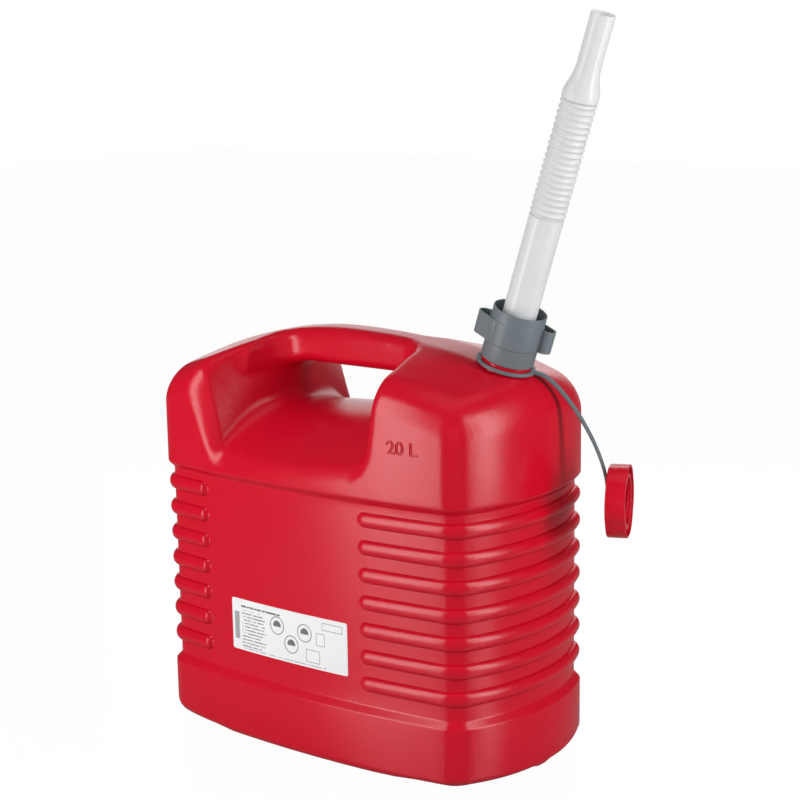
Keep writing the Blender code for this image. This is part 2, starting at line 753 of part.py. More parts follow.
def make_collar():
    """The screw collar that clamps the spout's flange on the neck."""
    cup_bore = COLLAR_CUP_RADIUS - COLLAR_CUP_WALL
    hole = TUBE_RADIUS + SEAT_GAP
    collar = turned(
        "spout_collar",
        [
            (COLLAR_CUP_RADIUS, COLLAR_TOP),
            (COLLAR_CUP_RADIUS, COLLAR_STEP),
            (COLLAR_SKIRT_RADIUS, COLLAR_STEP),
            (COLLAR_SKIRT_RADIUS, COLLAR_BOTTOM),
            (SKIRT_BORE_RADIUS, COLLAR_BOTTOM),
            (SKIRT_BORE_RADIUS, WEB_LEVEL),
            (hole, WEB_LEVEL),
            (hole, WEB_LEVEL + COLLAR_WEB),
            (cup_bore, WEB_LEVEL + COLLAR_WEB),
            (cup_bore, COLLAR_TOP),
        ],
        FINE_STEPS,
        GREY_PLASTIC,
    )
    for number in range(2):
        name = "collar ear %d" % (number + 1)
        ear = outline_prism(name, ear_outline(), COLLAR_STEP, COLLAR_STEP + EAR_HEIGHT)
        turn = EAR_HEADING - math.pi / 2 + math.pi * number
        ear.matrix_world = NECK_PLACE @ Matrix.Rotation(turn, 4, "Z")
        boolean(collar, "UNION", ear)
    root = SKIRT_BORE_RADIUS + WELD_DEPTH
    crest = NECK_RADIUS + THREAD_GAP
    start = THREAD_START - THREAD_PITCH / 2
    thread = thread_ridge("collar thread", root, crest, start, THREAD_PITCH)
    thread.matrix_world = NECK_PLACE
    boolean(collar, "UNION", thread)
    collar.matrix_world = NECK_PLACE
    return collar


def bezier(points, share):
    """A point on the cubic curve of four control points."""
    rest = 1 - share
    weights = (rest**3, 3 * rest**2 * share, 3 * rest * share**2, share**3)
    return sum((point * weight for point, weight in zip(points, weights)), Vector())


def strap_section(middle, along, across, thickness):
    """Four corners of the strap at a place on its way."""
    up = across.cross(along).normalized() * (thickness / 2)
    side = across.normalized() * (STRAP_WIDTH / 2)
    return [middle - side - up, middle + side - up, middle + side + up, middle - side + up]


STRAP_TOP = RING_SEAT + RING_THICKNESS
STRAP_MIDDLE = STRAP_TOP - STRAP_THICKNESS / 2
TAB_END = RING_OUTER_RADIUS + STRAP_TAB

# The hinge between the ring's tab and the leash: its Y axis is the axis of the flex.
HINGE_PLACE = STRAP_PLACE @ Matrix.Translation((TAB_END + STRAP_HINGE_GAP / 2, 0, STRAP_MIDDLE))

# The cap's back plate, whose Z axis points out of the cap's open side.
LEASH_HEADING = Vector((math.cos(STRAP_HEADING), math.sin(STRAP_HEADING), 0))
CAP_BACK = Vector((NECK_OFFSET, 0, CAP_LEVEL)) + LEASH_HEADING * CAP_REACH
CAP_TURN = Matrix.Rotation(STRAP_HEADING, 4, "Z") @ Matrix.Rotation(math.pi / 2, 4, "Y")
CAP_PLACE = Matrix.Translation(CAP_BACK) @ CAP_TURN
EYE_LEVEL = -SEAT_GAP - EYE_THICKNESS


def make_strap_ring():
    """The ring that turns loosely round the neck's root, with a tab where the leash starts."""
    ring = turned(
        "strap_ring",
        [
            (RING_OUTER_RADIUS, STRAP_TOP),
            (RING_OUTER_RADIUS, RING_SEAT),
            (RING_INNER_RADIUS, RING_SEAT),
            (RING_INNER_RADIUS, STRAP_TOP),
        ],
        FINE_STEPS,
        GREY_PLASTIC,
    )
    places = (
        ((RING_INNER_RADIUS + RING_OUTER_RADIUS) / 2, STRAP_THICKNESS),
        (TAB_END - STRAP_HINGE, STRAP_THICKNESS),
        (TAB_END, STRAP_HINGE_THICKNESS),
    )
    along = Vector((1, 0, 0))
    across = Vector((0, 1, 0))
    rings = []
    for x, thickness in places:
        rings.append(strap_section(Vector((x, 0, STRAP_MIDDLE)), along, across, thickness))
    tab = loft("ring tab", rings)
    boolean(ring, "UNION", tab)
    ring.matrix_world = STRAP_PLACE
    tab.matrix_world = STRAP_PLACE
    return ring


def leash_places():
    """The middle of the leash at each place on its way, its thickness there and its turn."""
    start = HINGE_PLACE @ Vector((STRAP_HINGE_GAP / 2, 0, 0))
    out = HINGE_PLACE.to_3x3() @ Vector((1, 0, 0))
    end = CAP_PLACE @ Vector((0, 0, EYE_LEVEL + EYE_THICKNESS / 2))
    over_eye = end + Vector((0, 0, EYE_RADIUS))
    curve = (start, start + out * LEASH_RISE, over_eye + Vector((0, 0, LEASH_DROP)), over_eye)
    places = [(start, STRAP_HINGE_THICKNESS, 0), (start + out * STRAP_HINGE, STRAP_THICKNESS, 0)]
    for i in range(1, LEASH_STEPS + 1):
        share = i / LEASH_STEPS
        places.append((bezier(curve, share), STRAP_THICKNESS, share))
    places.append((end + Vector((0, 0, EYE_RADIUS / 2)), STRAP_THICKNESS, 1))
    return places


def make_leash():
    """The flat strap, which arches over the shoulder and hangs down to the cap."""
    tilted_side = HINGE_PLACE.to_3x3() @ Vector((0, 1, 0))
    level_side = Matrix.Rotation(STRAP_HEADING, 3, "Z") @ Vector((0, 1, 0))
    to_hinge = HINGE_PLACE.inverted()
    places = leash_places()
    rings = []
    for i, (middle, thickness, turn) in enumerate(places):
        behind = places[max(i - 1, 0)][0]
        ahead = places[min(i + 1, len(places) - 1)][0]
        across = tilted_side.lerp(level_side, turn)
        section = strap_section(middle, ahead - behind, across, thickness)
        rings.append([to_hinge @ point for point in section])
    leash = loft("strap_leash", rings, GREY_PLASTIC)
    leash.matrix_world = HINGE_PLACE
    disc = [
        (0, EYE_THICKNESS),
        (EYE_RADIUS, EYE_THICKNESS),
        (EYE_RADIUS, 0),
        (0, 0),
    ]
    eye = turned("strap eye", disc, SMALL_STEPS)
    eye.matrix_world = CAP_PLACE @ Matrix.Translation((0, 0, EYE_LEVEL))
    bore_radius = STUD_RADIUS + SEAT_GAP
    head_bore_radius = STUD_HEAD_RADIUS + SEAT_GAP
    lip_level = EYE_THICKNESS - EYE_LIP
    cutter = [
        (0, EYE_THICKNESS + OVERRUN),
        (bore_radius, EYE_THICKNESS + OVERRUN),
        (bore_radius, lip_level),
        (head_bore_radius, lip_level),
        (head_bore_radius, -OVERRUN),
        (0, -OVERRUN),
    ]
    bore = turned("strap eye bore", cutter, SMALL_STEPS)
    bore.matrix_world = eye.matrix_world
    boolean(leash, "UNION", eye)
    boolean(leash, "DIFFERENCE", bore)
    return leash


def lobed_ring(radius, height, lobed):
    """A ring of the cap; a lobed one follows the six shallow grip hollows."""
    count = CAP_LOBES * CAP_STEPS_PER_LOBE
    ring = []
    for i in range(count):
        angle = math.tau * i / count
        hollow = CAP_LOBE_DEPTH * (1 - math.cos(CAP_LOBES * angle)) / 2 if lobed else 0
        reach = radius - hollow
        ring.append((reach * math.cos(angle), reach * math.sin(angle), height))
    return ring


def make_cap():
    """The closure cap: a gripped skirt, a threaded ring in it and a stud on its back."""
    ring_outer = SKIRT_BORE_RADIUS + CAP_RING_WALL
    ring_top = CAP_DEPTH - CAP_RING_SETBACK
    skirt_inner = CAP_RADIUS - CAP_WALL
    rings = [
        lobed_ring(SKIRT_BORE_RADIUS, CAP_PLATE, False),
        lobed_ring(SKIRT_BORE_RADIUS, ring_top, False),
        lobed_ring(ring_outer, ring_top, False),
        lobed_ring(ring_outer, CAP_PLATE, False),
        lobed_ring(skirt_inner, CAP_PLATE, True),
        lobed_ring(skirt_inner, CAP_DEPTH, True),
        lobed_ring(CAP_RADIUS, CAP_DEPTH, True),
        lobed_ring(CAP_RADIUS, CAP_EDGE, True),
        lobed_ring(CAP_RADIUS - CAP_EDGE, 0, True),
    ]
    cap = loft("closure_cap", rings, RED_PLASTIC)
    head_level = -SEAT_GAP - EYE_LIP - SEAT_GAP
    stud = turned(
        "cap stud",
        [
            (0, CAP_PLATE / 2),
            (STUD_RADIUS, CAP_PLATE / 2),
            (STUD_RADIUS, head_level),
            (STUD_HEAD_RADIUS, head_level),
            (STUD_HEAD_RADIUS, EYE_LEVEL),
            (0, EYE_LEVEL),
        ],
        SMALL_STEPS,
    )
    root = SKIRT_BORE_RADIUS + WELD_DEPTH
    crest = NECK_RADIUS + THREAD_GAP
    thread = thread_ridge("cap thread", root, crest, CAP_THREAD_START, CAP_THREAD_RUN)
    for piece in (cap, stud, thread):
        piece.matrix_world = CAP_PLACE
    boolean(cap, "UNION", stud)
    boolean(cap, "UNION", thread)
    smooth(cap)


def make_cap_seal():
    """The flat sealing ring that lies on the cap's plate."""
    foot = CAP_PLATE + SEAT_GAP
    top = foot + CAP_SEAL_THICKNESS
    radius = SKIRT_BORE_RADIUS - SEAT_GAP
    bore = NECK_BORE_RADIUS - SEAL_THICKNESS
    seal = turned(
        "cap_seal",
        [
            (radius, top),
            (radius, foot),
            (bore, foot),
            (bore, top),
        ],
        ROUND_STEPS,
        SEAL_RUBBER,
    )
    seal.matrix_world = CAP_PLACE


make_can()
make_label()
make_spout_seal()
make_spout_tube()
make_spout_bellows()
make_spout_nozzle()
make_collar()
make_strap_ring()
make_leash()
make_cap()
make_cap_seal()
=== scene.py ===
import math

import bmesh
import bpy
import numpy as np
from mathutils import Matrix, Vector


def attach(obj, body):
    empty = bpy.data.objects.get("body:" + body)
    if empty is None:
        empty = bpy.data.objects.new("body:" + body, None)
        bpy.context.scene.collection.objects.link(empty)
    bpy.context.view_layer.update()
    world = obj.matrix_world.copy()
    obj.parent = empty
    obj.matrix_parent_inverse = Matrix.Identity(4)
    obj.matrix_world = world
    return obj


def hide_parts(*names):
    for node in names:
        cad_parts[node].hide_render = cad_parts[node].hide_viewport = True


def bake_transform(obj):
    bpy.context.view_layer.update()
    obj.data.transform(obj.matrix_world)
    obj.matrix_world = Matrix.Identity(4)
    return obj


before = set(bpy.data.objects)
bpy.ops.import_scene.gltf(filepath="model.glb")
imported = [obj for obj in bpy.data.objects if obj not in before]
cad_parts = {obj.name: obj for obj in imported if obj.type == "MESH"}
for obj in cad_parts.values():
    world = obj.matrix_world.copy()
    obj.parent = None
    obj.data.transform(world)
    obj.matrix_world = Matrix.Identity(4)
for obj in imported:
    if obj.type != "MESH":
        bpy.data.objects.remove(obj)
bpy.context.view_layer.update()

# The can: one blow-moulded body of red polyethylene, with a base band, a recessed and beaded
# middle, an upper shell and a hollow handle bar over a hand hole. Its wall and ribs are drawn
# as rings up to the shell, and the shell with its scoops as a rounded implicit form.
CAN_LENGTH = 0.387
CAN_WIDTH = 0.218
CORNER_RADIUS = 0.0246
END_BOW_RADIUS = 0.194
SIDE_BOW_RADIUS = 1.1
BASE_TOP = 0.0554
SHELL_BOTTOM = 0.2484
SHELL_JOIN = 0.2516
PLAN_END_STEPS = 20
PLAN_CORNER_STEPS = 12
RECESS_DEPTH = 0.0055
BASE_FILLET = 0.008
BASE_FILLET_AT_HANDLE = 0.017
BASE_FILLET_AT_NECK = 0.012
FOOT_RISE = 0.002
FOOT_HALF_LENGTH = 0.105
FOOT_HALF_WIDTH = 0.008
FOOT_RUN = 0.008
BAND_EDGE = (
    (-0.0012, 0), (-0.0003, 0.00015), (0.0005, 0.0007),
    (0.0048, 0.0048), (0.0056, 0.00535), (0.0066, 0.0055),
)
BEAD_COUNT = 7
BEAD_PITCH = 0.02466
BEAD_TOP_LEVEL = 0.2291
BEAD_HALF_WIDTH = 0.00675
BEAD_HEIGHT = 0.005
BEAD_STEPS = (0, 0.25, 0.5, 0.7, 0.84, 0.93, 0.98, 1, 1.12)
BEAD_START_AT_NECK = 0.07
BEAD_START_AT_HANDLE = 0.1138
ROOF_TOP = 0.3757
ROOF_PEAK_OFFSET = 0.017
ROOF_RADIUS_AT_HANDLE = 0.361
ROOF_RADIUS_AT_NECK = 0.865
RIDGE_HALF_WIDTH = 0.018
RIDGE_SOFTNESS = 0.004
ROOF_FALL_AT_HANDLE = math.radians(9.3)
ROOF_FALL_AT_NECK = math.radians(14.4)
ROOF_BLEND = 0.006
SHOULDER_RADIUS = 0.0255
NECK_OFFSET = 0.1523
NECK_LEVEL = 0.3557
NECK_TILT = math.radians(18.3)
HOLE_WALL_AT_HANDLE = 0.08
HOLE_WALL_AT_NECK = 0.0615
HOLE_FLARE_AT_HANDLE = 0.035
HOLE_FLARE_AT_NECK = 0.022
HOLE_LEAN_AT_HANDLE = math.radians(20.6)
HOLE_LEAN_AT_NECK = math.radians(9)
HOLE_EDGE_REACH = 0.017
HOLE_EDGE_FOOT = 0.268
HOLE_EDGE_LEAN = math.radians(14.5)
HOLE_FLOOR = 0.3075
HOLE_FLOOR_SLOPE = math.radians(3.5)
HOLE_FLOOR_RADIUS = 0.135
HOLE_FILLET = 0.015
ROOT_FILLET = 0.005
CREASE_FILLET = 0.007
HANDLE_UNDERSIDE = 0.341
HANDLE_HALF_WIDTH = 0.019
HANDLE_UNDER_EDGE = 0.011
BAR_ROOT_START = 0.055
BAR_ROOT_RUN = 0.042
BAR_ROOT_SPREAD = 0.036
BAR_ROOT_DROP = 0.011
BAR_ROOT_CURVE = 3.3
BAR_SLOPE_AT_ROOT = 2.8
SCOOP_EDGE = 0.008
RIM_EDGE = 0.013
BAR_EDGE = 0.012
SEAM_HALF_WIDTH = 0.0004
GRID = 0.0026


def plan_centres(inset, corner):
    """Where the end's bow, the side's bow and the corner between them have their centres."""
    end = Vector((CAN_LENGTH / 2 - END_BOW_RADIUS, 0))
    side = Vector((0, CAN_WIDTH / 2 - SIDE_BOW_RADIUS))
    end_reach = END_BOW_RADIUS - inset - corner
    side_reach = SIDE_BOW_RADIUS - inset - corner
    run = side - end
    along = (end_reach**2 - side_reach**2 + run.length_squared) / (2 * run.length)
    across = math.sqrt(max(end_reach**2 - along**2, 0))
    direction = run.normalized()
    foot = end + direction * along
    sideways = Vector((-direction.y, direction.x)) * across
    return end, side, max(foot + sideways, foot - sideways, key=lambda point: point.x + point.y)


def side_places(bead_start):
    """Places along half a long side, inwards, close together round a bead's tip."""
    beside_corner = 0.148
    before_tip = bead_start + BEAD_HALF_WIDTH + 0.004
    outer = [beside_corner + (before_tip - beside_corner) * share for share in (0, 0.34, 0.67)]
    round_tip = [before_tip - 0.0015 * i for i in range(10)]
    return outer + round_tip + [round_tip[-1] * share for share in (0.8, 0.6, 0.4, 0.2)]


def quarter_plan(inset, bead_start):
    """A quarter of the can's plan, moved inwards by inset, from +X round to +Y."""
    corner = max(CORNER_RADIUS - inset, 0.0005)
    end_centre, side_centre, centre = plan_centres(inset, corner)
    end_angle = math.atan2(centre.y - end_centre.y, centre.x - end_centre.x)
    side_angle = math.atan2(centre.y - side_centre.y, centre.x - side_centre.x)
    points = []
    for i in range(PLAN_END_STEPS):
        angle = end_angle * i / PLAN_END_STEPS
        reach = Vector((math.cos(angle), math.sin(angle))) * (END_BOW_RADIUS - inset)
        points.append(tuple(end_centre + reach))
    for i in range(PLAN_CORNER_STEPS + 1):
        angle = end_angle + (side_angle - end_angle) * i / PLAN_CORNER_STEPS
        reach = Vector((math.cos(angle), math.sin(angle))) * corner
        points.append(tuple(centre + reach))
    drawn_in = min(1, (CAN_LENGTH / 2 - inset) / (CAN_LENGTH / 2 - SHOULDER_RADIUS))
    for place in side_places(bead_start):
        x = place * drawn_in
        points.append((x, side_centre.y + math.sqrt((SIDE_BOW_RADIUS - inset) ** 2 - x**2)))
    return points


def plan(inset):
    """The whole plan, counterclockwise from +X, symmetric about y = 0."""
    neck_end = quarter_plan(inset, BEAD_START_AT_NECK)
    handle_end = quarter_plan(inset, BEAD_START_AT_HANDLE)
    half = neck_end + [(0, CAN_WIDTH / 2 - inset)] + [(-x, y) for x, y in reversed(handle_end)]
    return np.array(half + [(x, -y) for x, y in reversed(half[1:-1])])


def ramp(value, start, run):
    """From 0 at the start to 1 at the end of the run."""
    return np.clip((value - start) / run, 0, 1)


def eased(share):
    """A share that leaves 0 and reaches 1 gently."""
    return share**2 * (3 - 2 * share)


def foot_rise(outline):
    """How far the underside is raised off the plinth that the can stands on."""
    along = ramp(abs(outline[:, 0]), FOOT_HALF_LENGTH - FOOT_RUN / 2, FOOT_RUN)
    across = ramp(abs(outline[:, 1]), FOOT_HALF_WIDTH - FOOT_RUN / 2, FOOT_RUN)
    return FOOT_RISE * (along * across)


def can_rings():
    """The rings of the underside, the base band and the beaded recess, from the middle up."""
    rings = []
    for inset in (0.1, 0.08, 0.06, 0.045, 0.032, 0.022):
        outline = plan(inset)
        rings.append(np.column_stack([outline, foot_rise(outline)]))
    outer = plan(0)
    full = np.full(len(outer), 1.0)
    near_corner = ramp(abs(outer[:, 0]), 0.09, 0.08) * ramp(abs(outer[:, 1]), 0.02, 0.06)
    corner_fillet = np.where(outer[:, 0] < 0, BASE_FILLET_AT_HANDLE, BASE_FILLET_AT_NECK)
    fillet = BASE_FILLET + (corner_fillet - BASE_FILLET) * near_corner**2
    for i in range(8):
        turn = math.pi / 2 * i / 7
        inwards = (plan(BASE_FILLET) - outer) / BASE_FILLET
        outline = outer + inwards * (fillet * (1 - math.sin(turn)))[:, None]
        level = fillet * (1 - math.cos(turn)) + foot_rise(outline) * math.cos(turn)
        rings.append(np.column_stack([outline, level]))
    for run, inset in BAND_EDGE:
        rings.append(np.column_stack([plan(inset), full * (BASE_TOP + run)]))
    floor = plan(RECESS_DEPTH)
    crest = plan(RECESS_DEPTH - BEAD_HEIGHT)
    start = np.where(floor[:, 0] > 0, BEAD_START_AT_NECK, BEAD_START_AT_HANDLE)
    before_tip = np.maximum(start + BEAD_HALF_WIDTH - abs(floor[:, 0]), 0)
    for number in reversed(range(BEAD_COUNT)):
        middle = BEAD_TOP_LEVEL - BEAD_PITCH * number
        for share in [-share for share in BEAD_STEPS[:0:-1]] + list(BEAD_STEPS):
            away = np.hypot(before_tip / BEAD_HALF_WIDTH, share)
            height = np.sqrt(np.clip(1 - away**2, 0, 1))[:, None]
            level = full * (middle + BEAD_HALF_WIDTH * share)
            rings.append(np.column_stack([floor + (crest - floor) * height, level]))
    for run, inset in reversed(BAND_EDGE):
        rings.append(np.column_stack([plan(inset), full * (SHELL_BOTTOM - run)]))
    rings.append(np.column_stack([plan(0), full * SHELL_JOIN]))
    return rings


def round_max(first, second, radius):
    """The larger of two distances, with a round edge of this radius where they cross."""
    a = np.maximum(first + radius, 0)
    b = np.maximum(second + radius, 0)
    return np.minimum(np.maximum(first, second) + radius, 0) + np.hypot(a, b) - radius


def plan_distance(x, y):
    """Distance outwards from the can's plan."""
    x, y = abs(x), abs(y)
    end_centre, side_centre, centre = plan_centres(0, CORNER_RADIUS)
    at_end = np.hypot(x - end_centre.x, y) - END_BOW_RADIUS
    at_side = np.hypot(x, y - side_centre.y) - SIDE_BOW_RADIUS
    end_way = (centre - end_centre).normalized()
    side_way = (centre - side_centre).normalized()
    past_end = end_way.x * (y - centre.y) - end_way.y * (x - centre.x) > 0
    past_side = side_way.y * (x - centre.x) - side_way.x * (y - centre.y) > 0
    at_corner = np.hypot(x - centre.x, y - centre.y) - CORNER_RADIUS
    return np.where(past_end & past_side, at_corner, np.maximum(at_end, at_side))


def roof(x, y):
    """The height of the roof: an arch, a slope that carries the neck, and a fall to both sides."""
    run = x + ROOF_PEAK_OFFSET
    radius = np.where(run < 0, ROOF_RADIUS_AT_HANDLE, ROOF_RADIUS_AT_NECK)
    arch = ROOF_TOP - run**2 / (2 * radius)
    slope = NECK_LEVEL - math.tan(NECK_TILT) * (x - NECK_OFFSET)
    mix = np.clip((slope - arch) / ROOF_BLEND / 2 + 0.5, 0, 1)
    ridge = slope * (1 - mix) + arch * mix - ROOF_BLEND * mix * (1 - mix)
    share = np.clip(x / CAN_LENGTH + 0.5, 0, 1)
    fall = ROOF_FALL_AT_HANDLE + (ROOF_FALL_AT_NECK - ROOF_FALL_AT_HANDLE) * share
    beside = (abs(y) - RIDGE_HALF_WIDTH) / 2
    return ridge - np.tan(fall) * (beside + np.hypot(beside, RIDGE_SOFTNESS / 2))


def shell_distance(x, y, z):
    """Distance outwards from the can's skin above the recess, with its hand hole and handle."""
    above_roof = (z - roof(x, y)) * math.cos(ROOF_FALL_AT_NECK)
    outer = round_max(plan_distance(x, y), above_roof, SHOULDER_RADIUS)
    half_width = CAN_WIDTH / 2
    share = np.clip(np.sqrt((y / half_width) ** 2 + 0.0009), 0, 1)
    rise = z - HOLE_FLOOR
    neck_wall = HOLE_WALL_AT_NECK + HOLE_FLARE_AT_NECK * share**0.6
    neck_wall += math.tan(HOLE_LEAN_AT_NECK) * rise * share
    edge = math.tan(HOLE_EDGE_LEAN) * np.maximum(z - HOLE_EDGE_FOOT, 0)
    edge = edge * ramp(abs(y), half_width - HOLE_EDGE_REACH, HOLE_EDGE_REACH)
    handle_wall = HOLE_WALL_AT_HANDLE + HOLE_FLARE_AT_HANDLE * share**1.5 + edge
    handle_wall += math.tan(HOLE_LEAN_AT_HANDLE) * rise * share
    floor = HOLE_FLOOR + math.tan(HOLE_FLOOR_SLOPE) * x - y**2 / (2 * HOLE_FLOOR_RADIUS)
    floor_slope = np.hypot(1, y / HOLE_FLOOR_RADIUS)
    near_root = eased(ramp(-x, 0.042, 0.036))
    near_face = eased(ramp(abs(y), 0.046, 0.048))
    fillet = HOLE_FILLET + (CREASE_FILLET - HOLE_FILLET) * near_root * near_face
    within_walls = np.maximum(x - neck_wall, -x - handle_wall)
    scoop = round_max((floor - z) / floor_slope, within_walls, fillet)
    root = ramp(-x, BAR_ROOT_START, BAR_ROOT_RUN)
    bar_side = abs(y) - HANDLE_HALF_WIDTH - BAR_ROOT_SPREAD * root**BAR_ROOT_CURVE
    bar_side = bar_side / np.hypot(1, BAR_SLOPE_AT_ROOT * root ** (BAR_ROOT_CURVE - 1))
    bar_under = HANDLE_UNDERSIDE - BAR_ROOT_DROP * root**2 - z
    bar = round_max(bar_side, bar_under, HANDLE_UNDER_EDGE)
    cut = round_max(scoop, -bar, HOLE_FILLET + (ROOT_FILLET - HOLE_FILLET) * near_root)
    beside_bar = eased(ramp(abs(y), HANDLE_HALF_WIDTH, 0.03))
    edge = BAR_EDGE + (SCOOP_EDGE - BAR_EDGE) * beside_bar
    return round_max(outer, -cut, edge + (RIM_EDGE - edge) * near_root * near_face)


def net(distance, low, high, cell):
    """A quad skin where distance is zero: one point to a cell, moved onto the surface."""
    axes = [np.arange(a, b + cell, cell) for a, b in zip(low, high)]
    grid = np.meshgrid(*axes, indexing="ij")
    inside = distance(*grid) < 0
    corners = sum(
        inside[i : i - 1 or None, j : j - 1 or None, k : k - 1 or None].astype(int)
        for i in (0, 1) for j in (0, 1) for k in (0, 1)
    )
    crossed = (corners > 0) & (corners < 8)
    number = np.full(crossed.shape, -1)
    number[crossed] = np.arange(crossed.sum())
    points = np.argwhere(crossed) * cell + np.array([axis[0] for axis in axes]) + cell / 2
    step = cell / 40
    for _ in range(6):
        value = distance(*points.T)
        slope = np.empty_like(points)
        for axis in range(3):
            shift = np.zeros(3)
            shift[axis] = step
            slope[:, axis] = distance(*(points + shift).T) - distance(*(points - shift).T)
        slope /= 2 * step
        size = np.maximum((slope**2).sum(1), 0.05)
        move = slope * (value / size)[:, None]
        length = np.linalg.norm(move, axis=1)
        points -= move * np.minimum(1, cell / 2 / np.maximum(length, 1e-9))[:, None]
    faces = []
    for axis in range(3):
        ahead = np.moveaxis(inside, axis, 0)
        cells = np.moveaxis(number, axis, 0)
        change = ahead[1:] != ahead[:-1]
        place = np.argwhere(change[:, 1:-1, 1:-1])
        i, j, k = place[:, 0], place[:, 1] + 1, place[:, 2] + 1
        around = ((j - 1, k - 1), (j, k - 1), (j, k), (j - 1, k))
        quad = np.stack([cells[i, b, c] for b, c in around], 1)
        falls = ahead[i, j, k]
        if axis == 1:
            falls = ~falls
        quad = np.where(falls[:, None], quad, quad[:, ::-1])
        faces.append(quad)
    return points, np.concatenate(faces)


def skin(form, rings, closed=False):
    """Faces between rings of points, in the order that they come; returns the rows."""
    rows = [[form.verts.new(point) for point in ring] for ring in rings]
    for low, high in zip(rows, rows[1:] + rows[: int(closed)]):
        for i in range(len(low)):
            j = (i + 1) % len(low)
            form.faces.new((low[i], low[j], high[j], high[i]))
    return rows


def zip_up(form, low, high):
    """Triangles between two rows of points that run round the same outline."""
    def turn(point):
        return math.atan2(point.co.y, point.co.x)

    low, high = sorted(low, key=turn), sorted(high, key=turn)
    i = j = 0
    while i < len(low) or j < len(high):
        a, b = low[i % len(low)], high[j % len(high)]
        next_low = turn(low[i]) if i < len(low) - 1 else math.pi
        next_high = turn(high[j]) if j < len(high) - 1 else math.pi
        if i < len(low) and (next_low <= next_high or j >= len(high)):
            c = low[(i + 1) % len(low)]
            i += 1
        else:
            c = high[(j + 1) % len(high)]
            j += 1
        form.faces.new((a, c, b))


def one_mesh(name, *forms):
    """One mesh of several forms, with their faces turned outwards."""
    whole = bmesh.new()
    for form in forms:
        bmesh.ops.recalc_face_normals(form, faces=form.faces)
        part = bpy.data.meshes.new(name)
        form.to_mesh(part)
        form.free()
        whole.from_mesh(part)
        bpy.data.meshes.remove(part)
    mesh = bpy.data.meshes.new(name)
    whole.to_mesh(mesh)
    whole.free()
    return mesh


def piece(name, material, *forms):
    """Put a piece of one or more forms in the scene, smooth where it turns gently."""
    mesh = one_mesh(name, *forms)
    mesh.materials.append(material)
    mesh.shade_smooth()
    mesh.set_sharp_from_angle(angle=math.radians(40))
    item = bpy.data.objects.new(name, mesh)
    bpy.context.scene.collection.objects.link(item)
    return item


class Socket:
    """An output of a node. Sums on it add Math nodes to its tree."""

    def __init__(self, nodes, output):
        self.nodes = nodes
        self.output = output

    def out(self, name):
        return Socket(self.nodes, self.output.node.outputs[name])

    def math(self, operation, *values):
        return self.nodes.add("ShaderNodeMath", dict(enumerate(values)), operation=operation)

    def __add__(self, other):
        return self.math("ADD", self, other)

    def __sub__(self, other):
        return self.math("SUBTRACT", self, other)

    def __rsub__(self, other):
        return self.math("SUBTRACT", other, self)

    def __mul__(self, other):
        return self.math("MULTIPLY", self, other)

    def __truediv__(self, other):
        return self.math("DIVIDE", self, other)

    def __lt__(self, other):
        return self.math("LESS_THAN", self, other)

    def __gt__(self, other):
        return self.math("GREATER_THAN", self, other)

    def __abs__(self):
        return self.math("ABSOLUTE", self)

    def floor(self):
        return self.math("FLOOR", self)

    __radd__ = __add__
    __rmul__ = __mul__


class Nodes:
    """A node tree, with one way to add a node to it."""

    def __init__(self, tree):
        self.tree = tree

    def add(self, kind, inputs=None, output=0, **settings):
        node = self.tree.nodes.new(kind)
        for name, value in settings.items():
            setattr(node, name, value)
        for name, value in (inputs or {}).items():
            if isinstance(value, Socket):
                self.tree.links.new(value.output, node.inputs[name])
            else:
                node.inputs[name].default_value = value
        return Socket(self, node.outputs[output]) if node.outputs else node


def finish_material(name, roughness, build, **constants):
    """A Principled material. build gives its colour, change of roughness, bump and bump depth."""
    material = bpy.data.materials.new(name)
    material.use_nodes = True
    nodes = Nodes(material.node_tree)
    sockets = material.node_tree.nodes["Principled BSDF"].inputs
    at = nodes.add("ShaderNodeTexCoord").out("Object")
    colour, roughness_change, height, depth = build(nodes, at)
    bump = nodes.add("ShaderNodeBump", {"Strength": 1, "Distance": depth, "Height": height})
    links = material.node_tree.links
    links.new(colour.output, sockets["Base Color"])
    links.new((roughness_change + roughness).output, sockets["Roughness"])
    links.new(bump.output, sockets["Normal"])
    for name, value in constants.items():
        sockets[name.replace("_", " ")].default_value = value
    return material


def noise(nodes, at, scale, detail=2):
    inputs = {"Vector": at, "Scale": scale, "Detail": detail}
    return nodes.add("ShaderNodeTexNoise", inputs).out("Fac")


def mixed(nodes, share, first, second):
    """A colour between two others."""
    return nodes.add("ShaderNodeMix", {0: share, 6: first, 7: second}, output=2, data_type="RGBA")


def red_finish(nodes, at):
    """Glossy red polyethylene with a faint orange peel and a mould seam along the middle."""
    flow = noise(nodes, at, 7, 3)
    colour = mixed(nodes, flow, (0.56, 0.002, 0.016, 1), (0.60, 0.003, 0.021, 1))
    peel = noise(nodes, at, 260, 2)
    grain = noise(nodes, at, 1400, 1)
    apart = nodes.add("ShaderNodeSeparateXYZ", {"Vector": at})
    seam = abs(apart.out("Y")) < SEAM_HALF_WIDTH
    smear = noise(nodes, at, 34, 4)
    return colour, smear * 0.08 + grain * 0.03, peel * 0.5 + grain * 0.2 + seam, 0.0002


RED = finish_material("red polyethylene", 0.19, red_finish, IOR=1.5, Specular_IOR_Level=0.35)

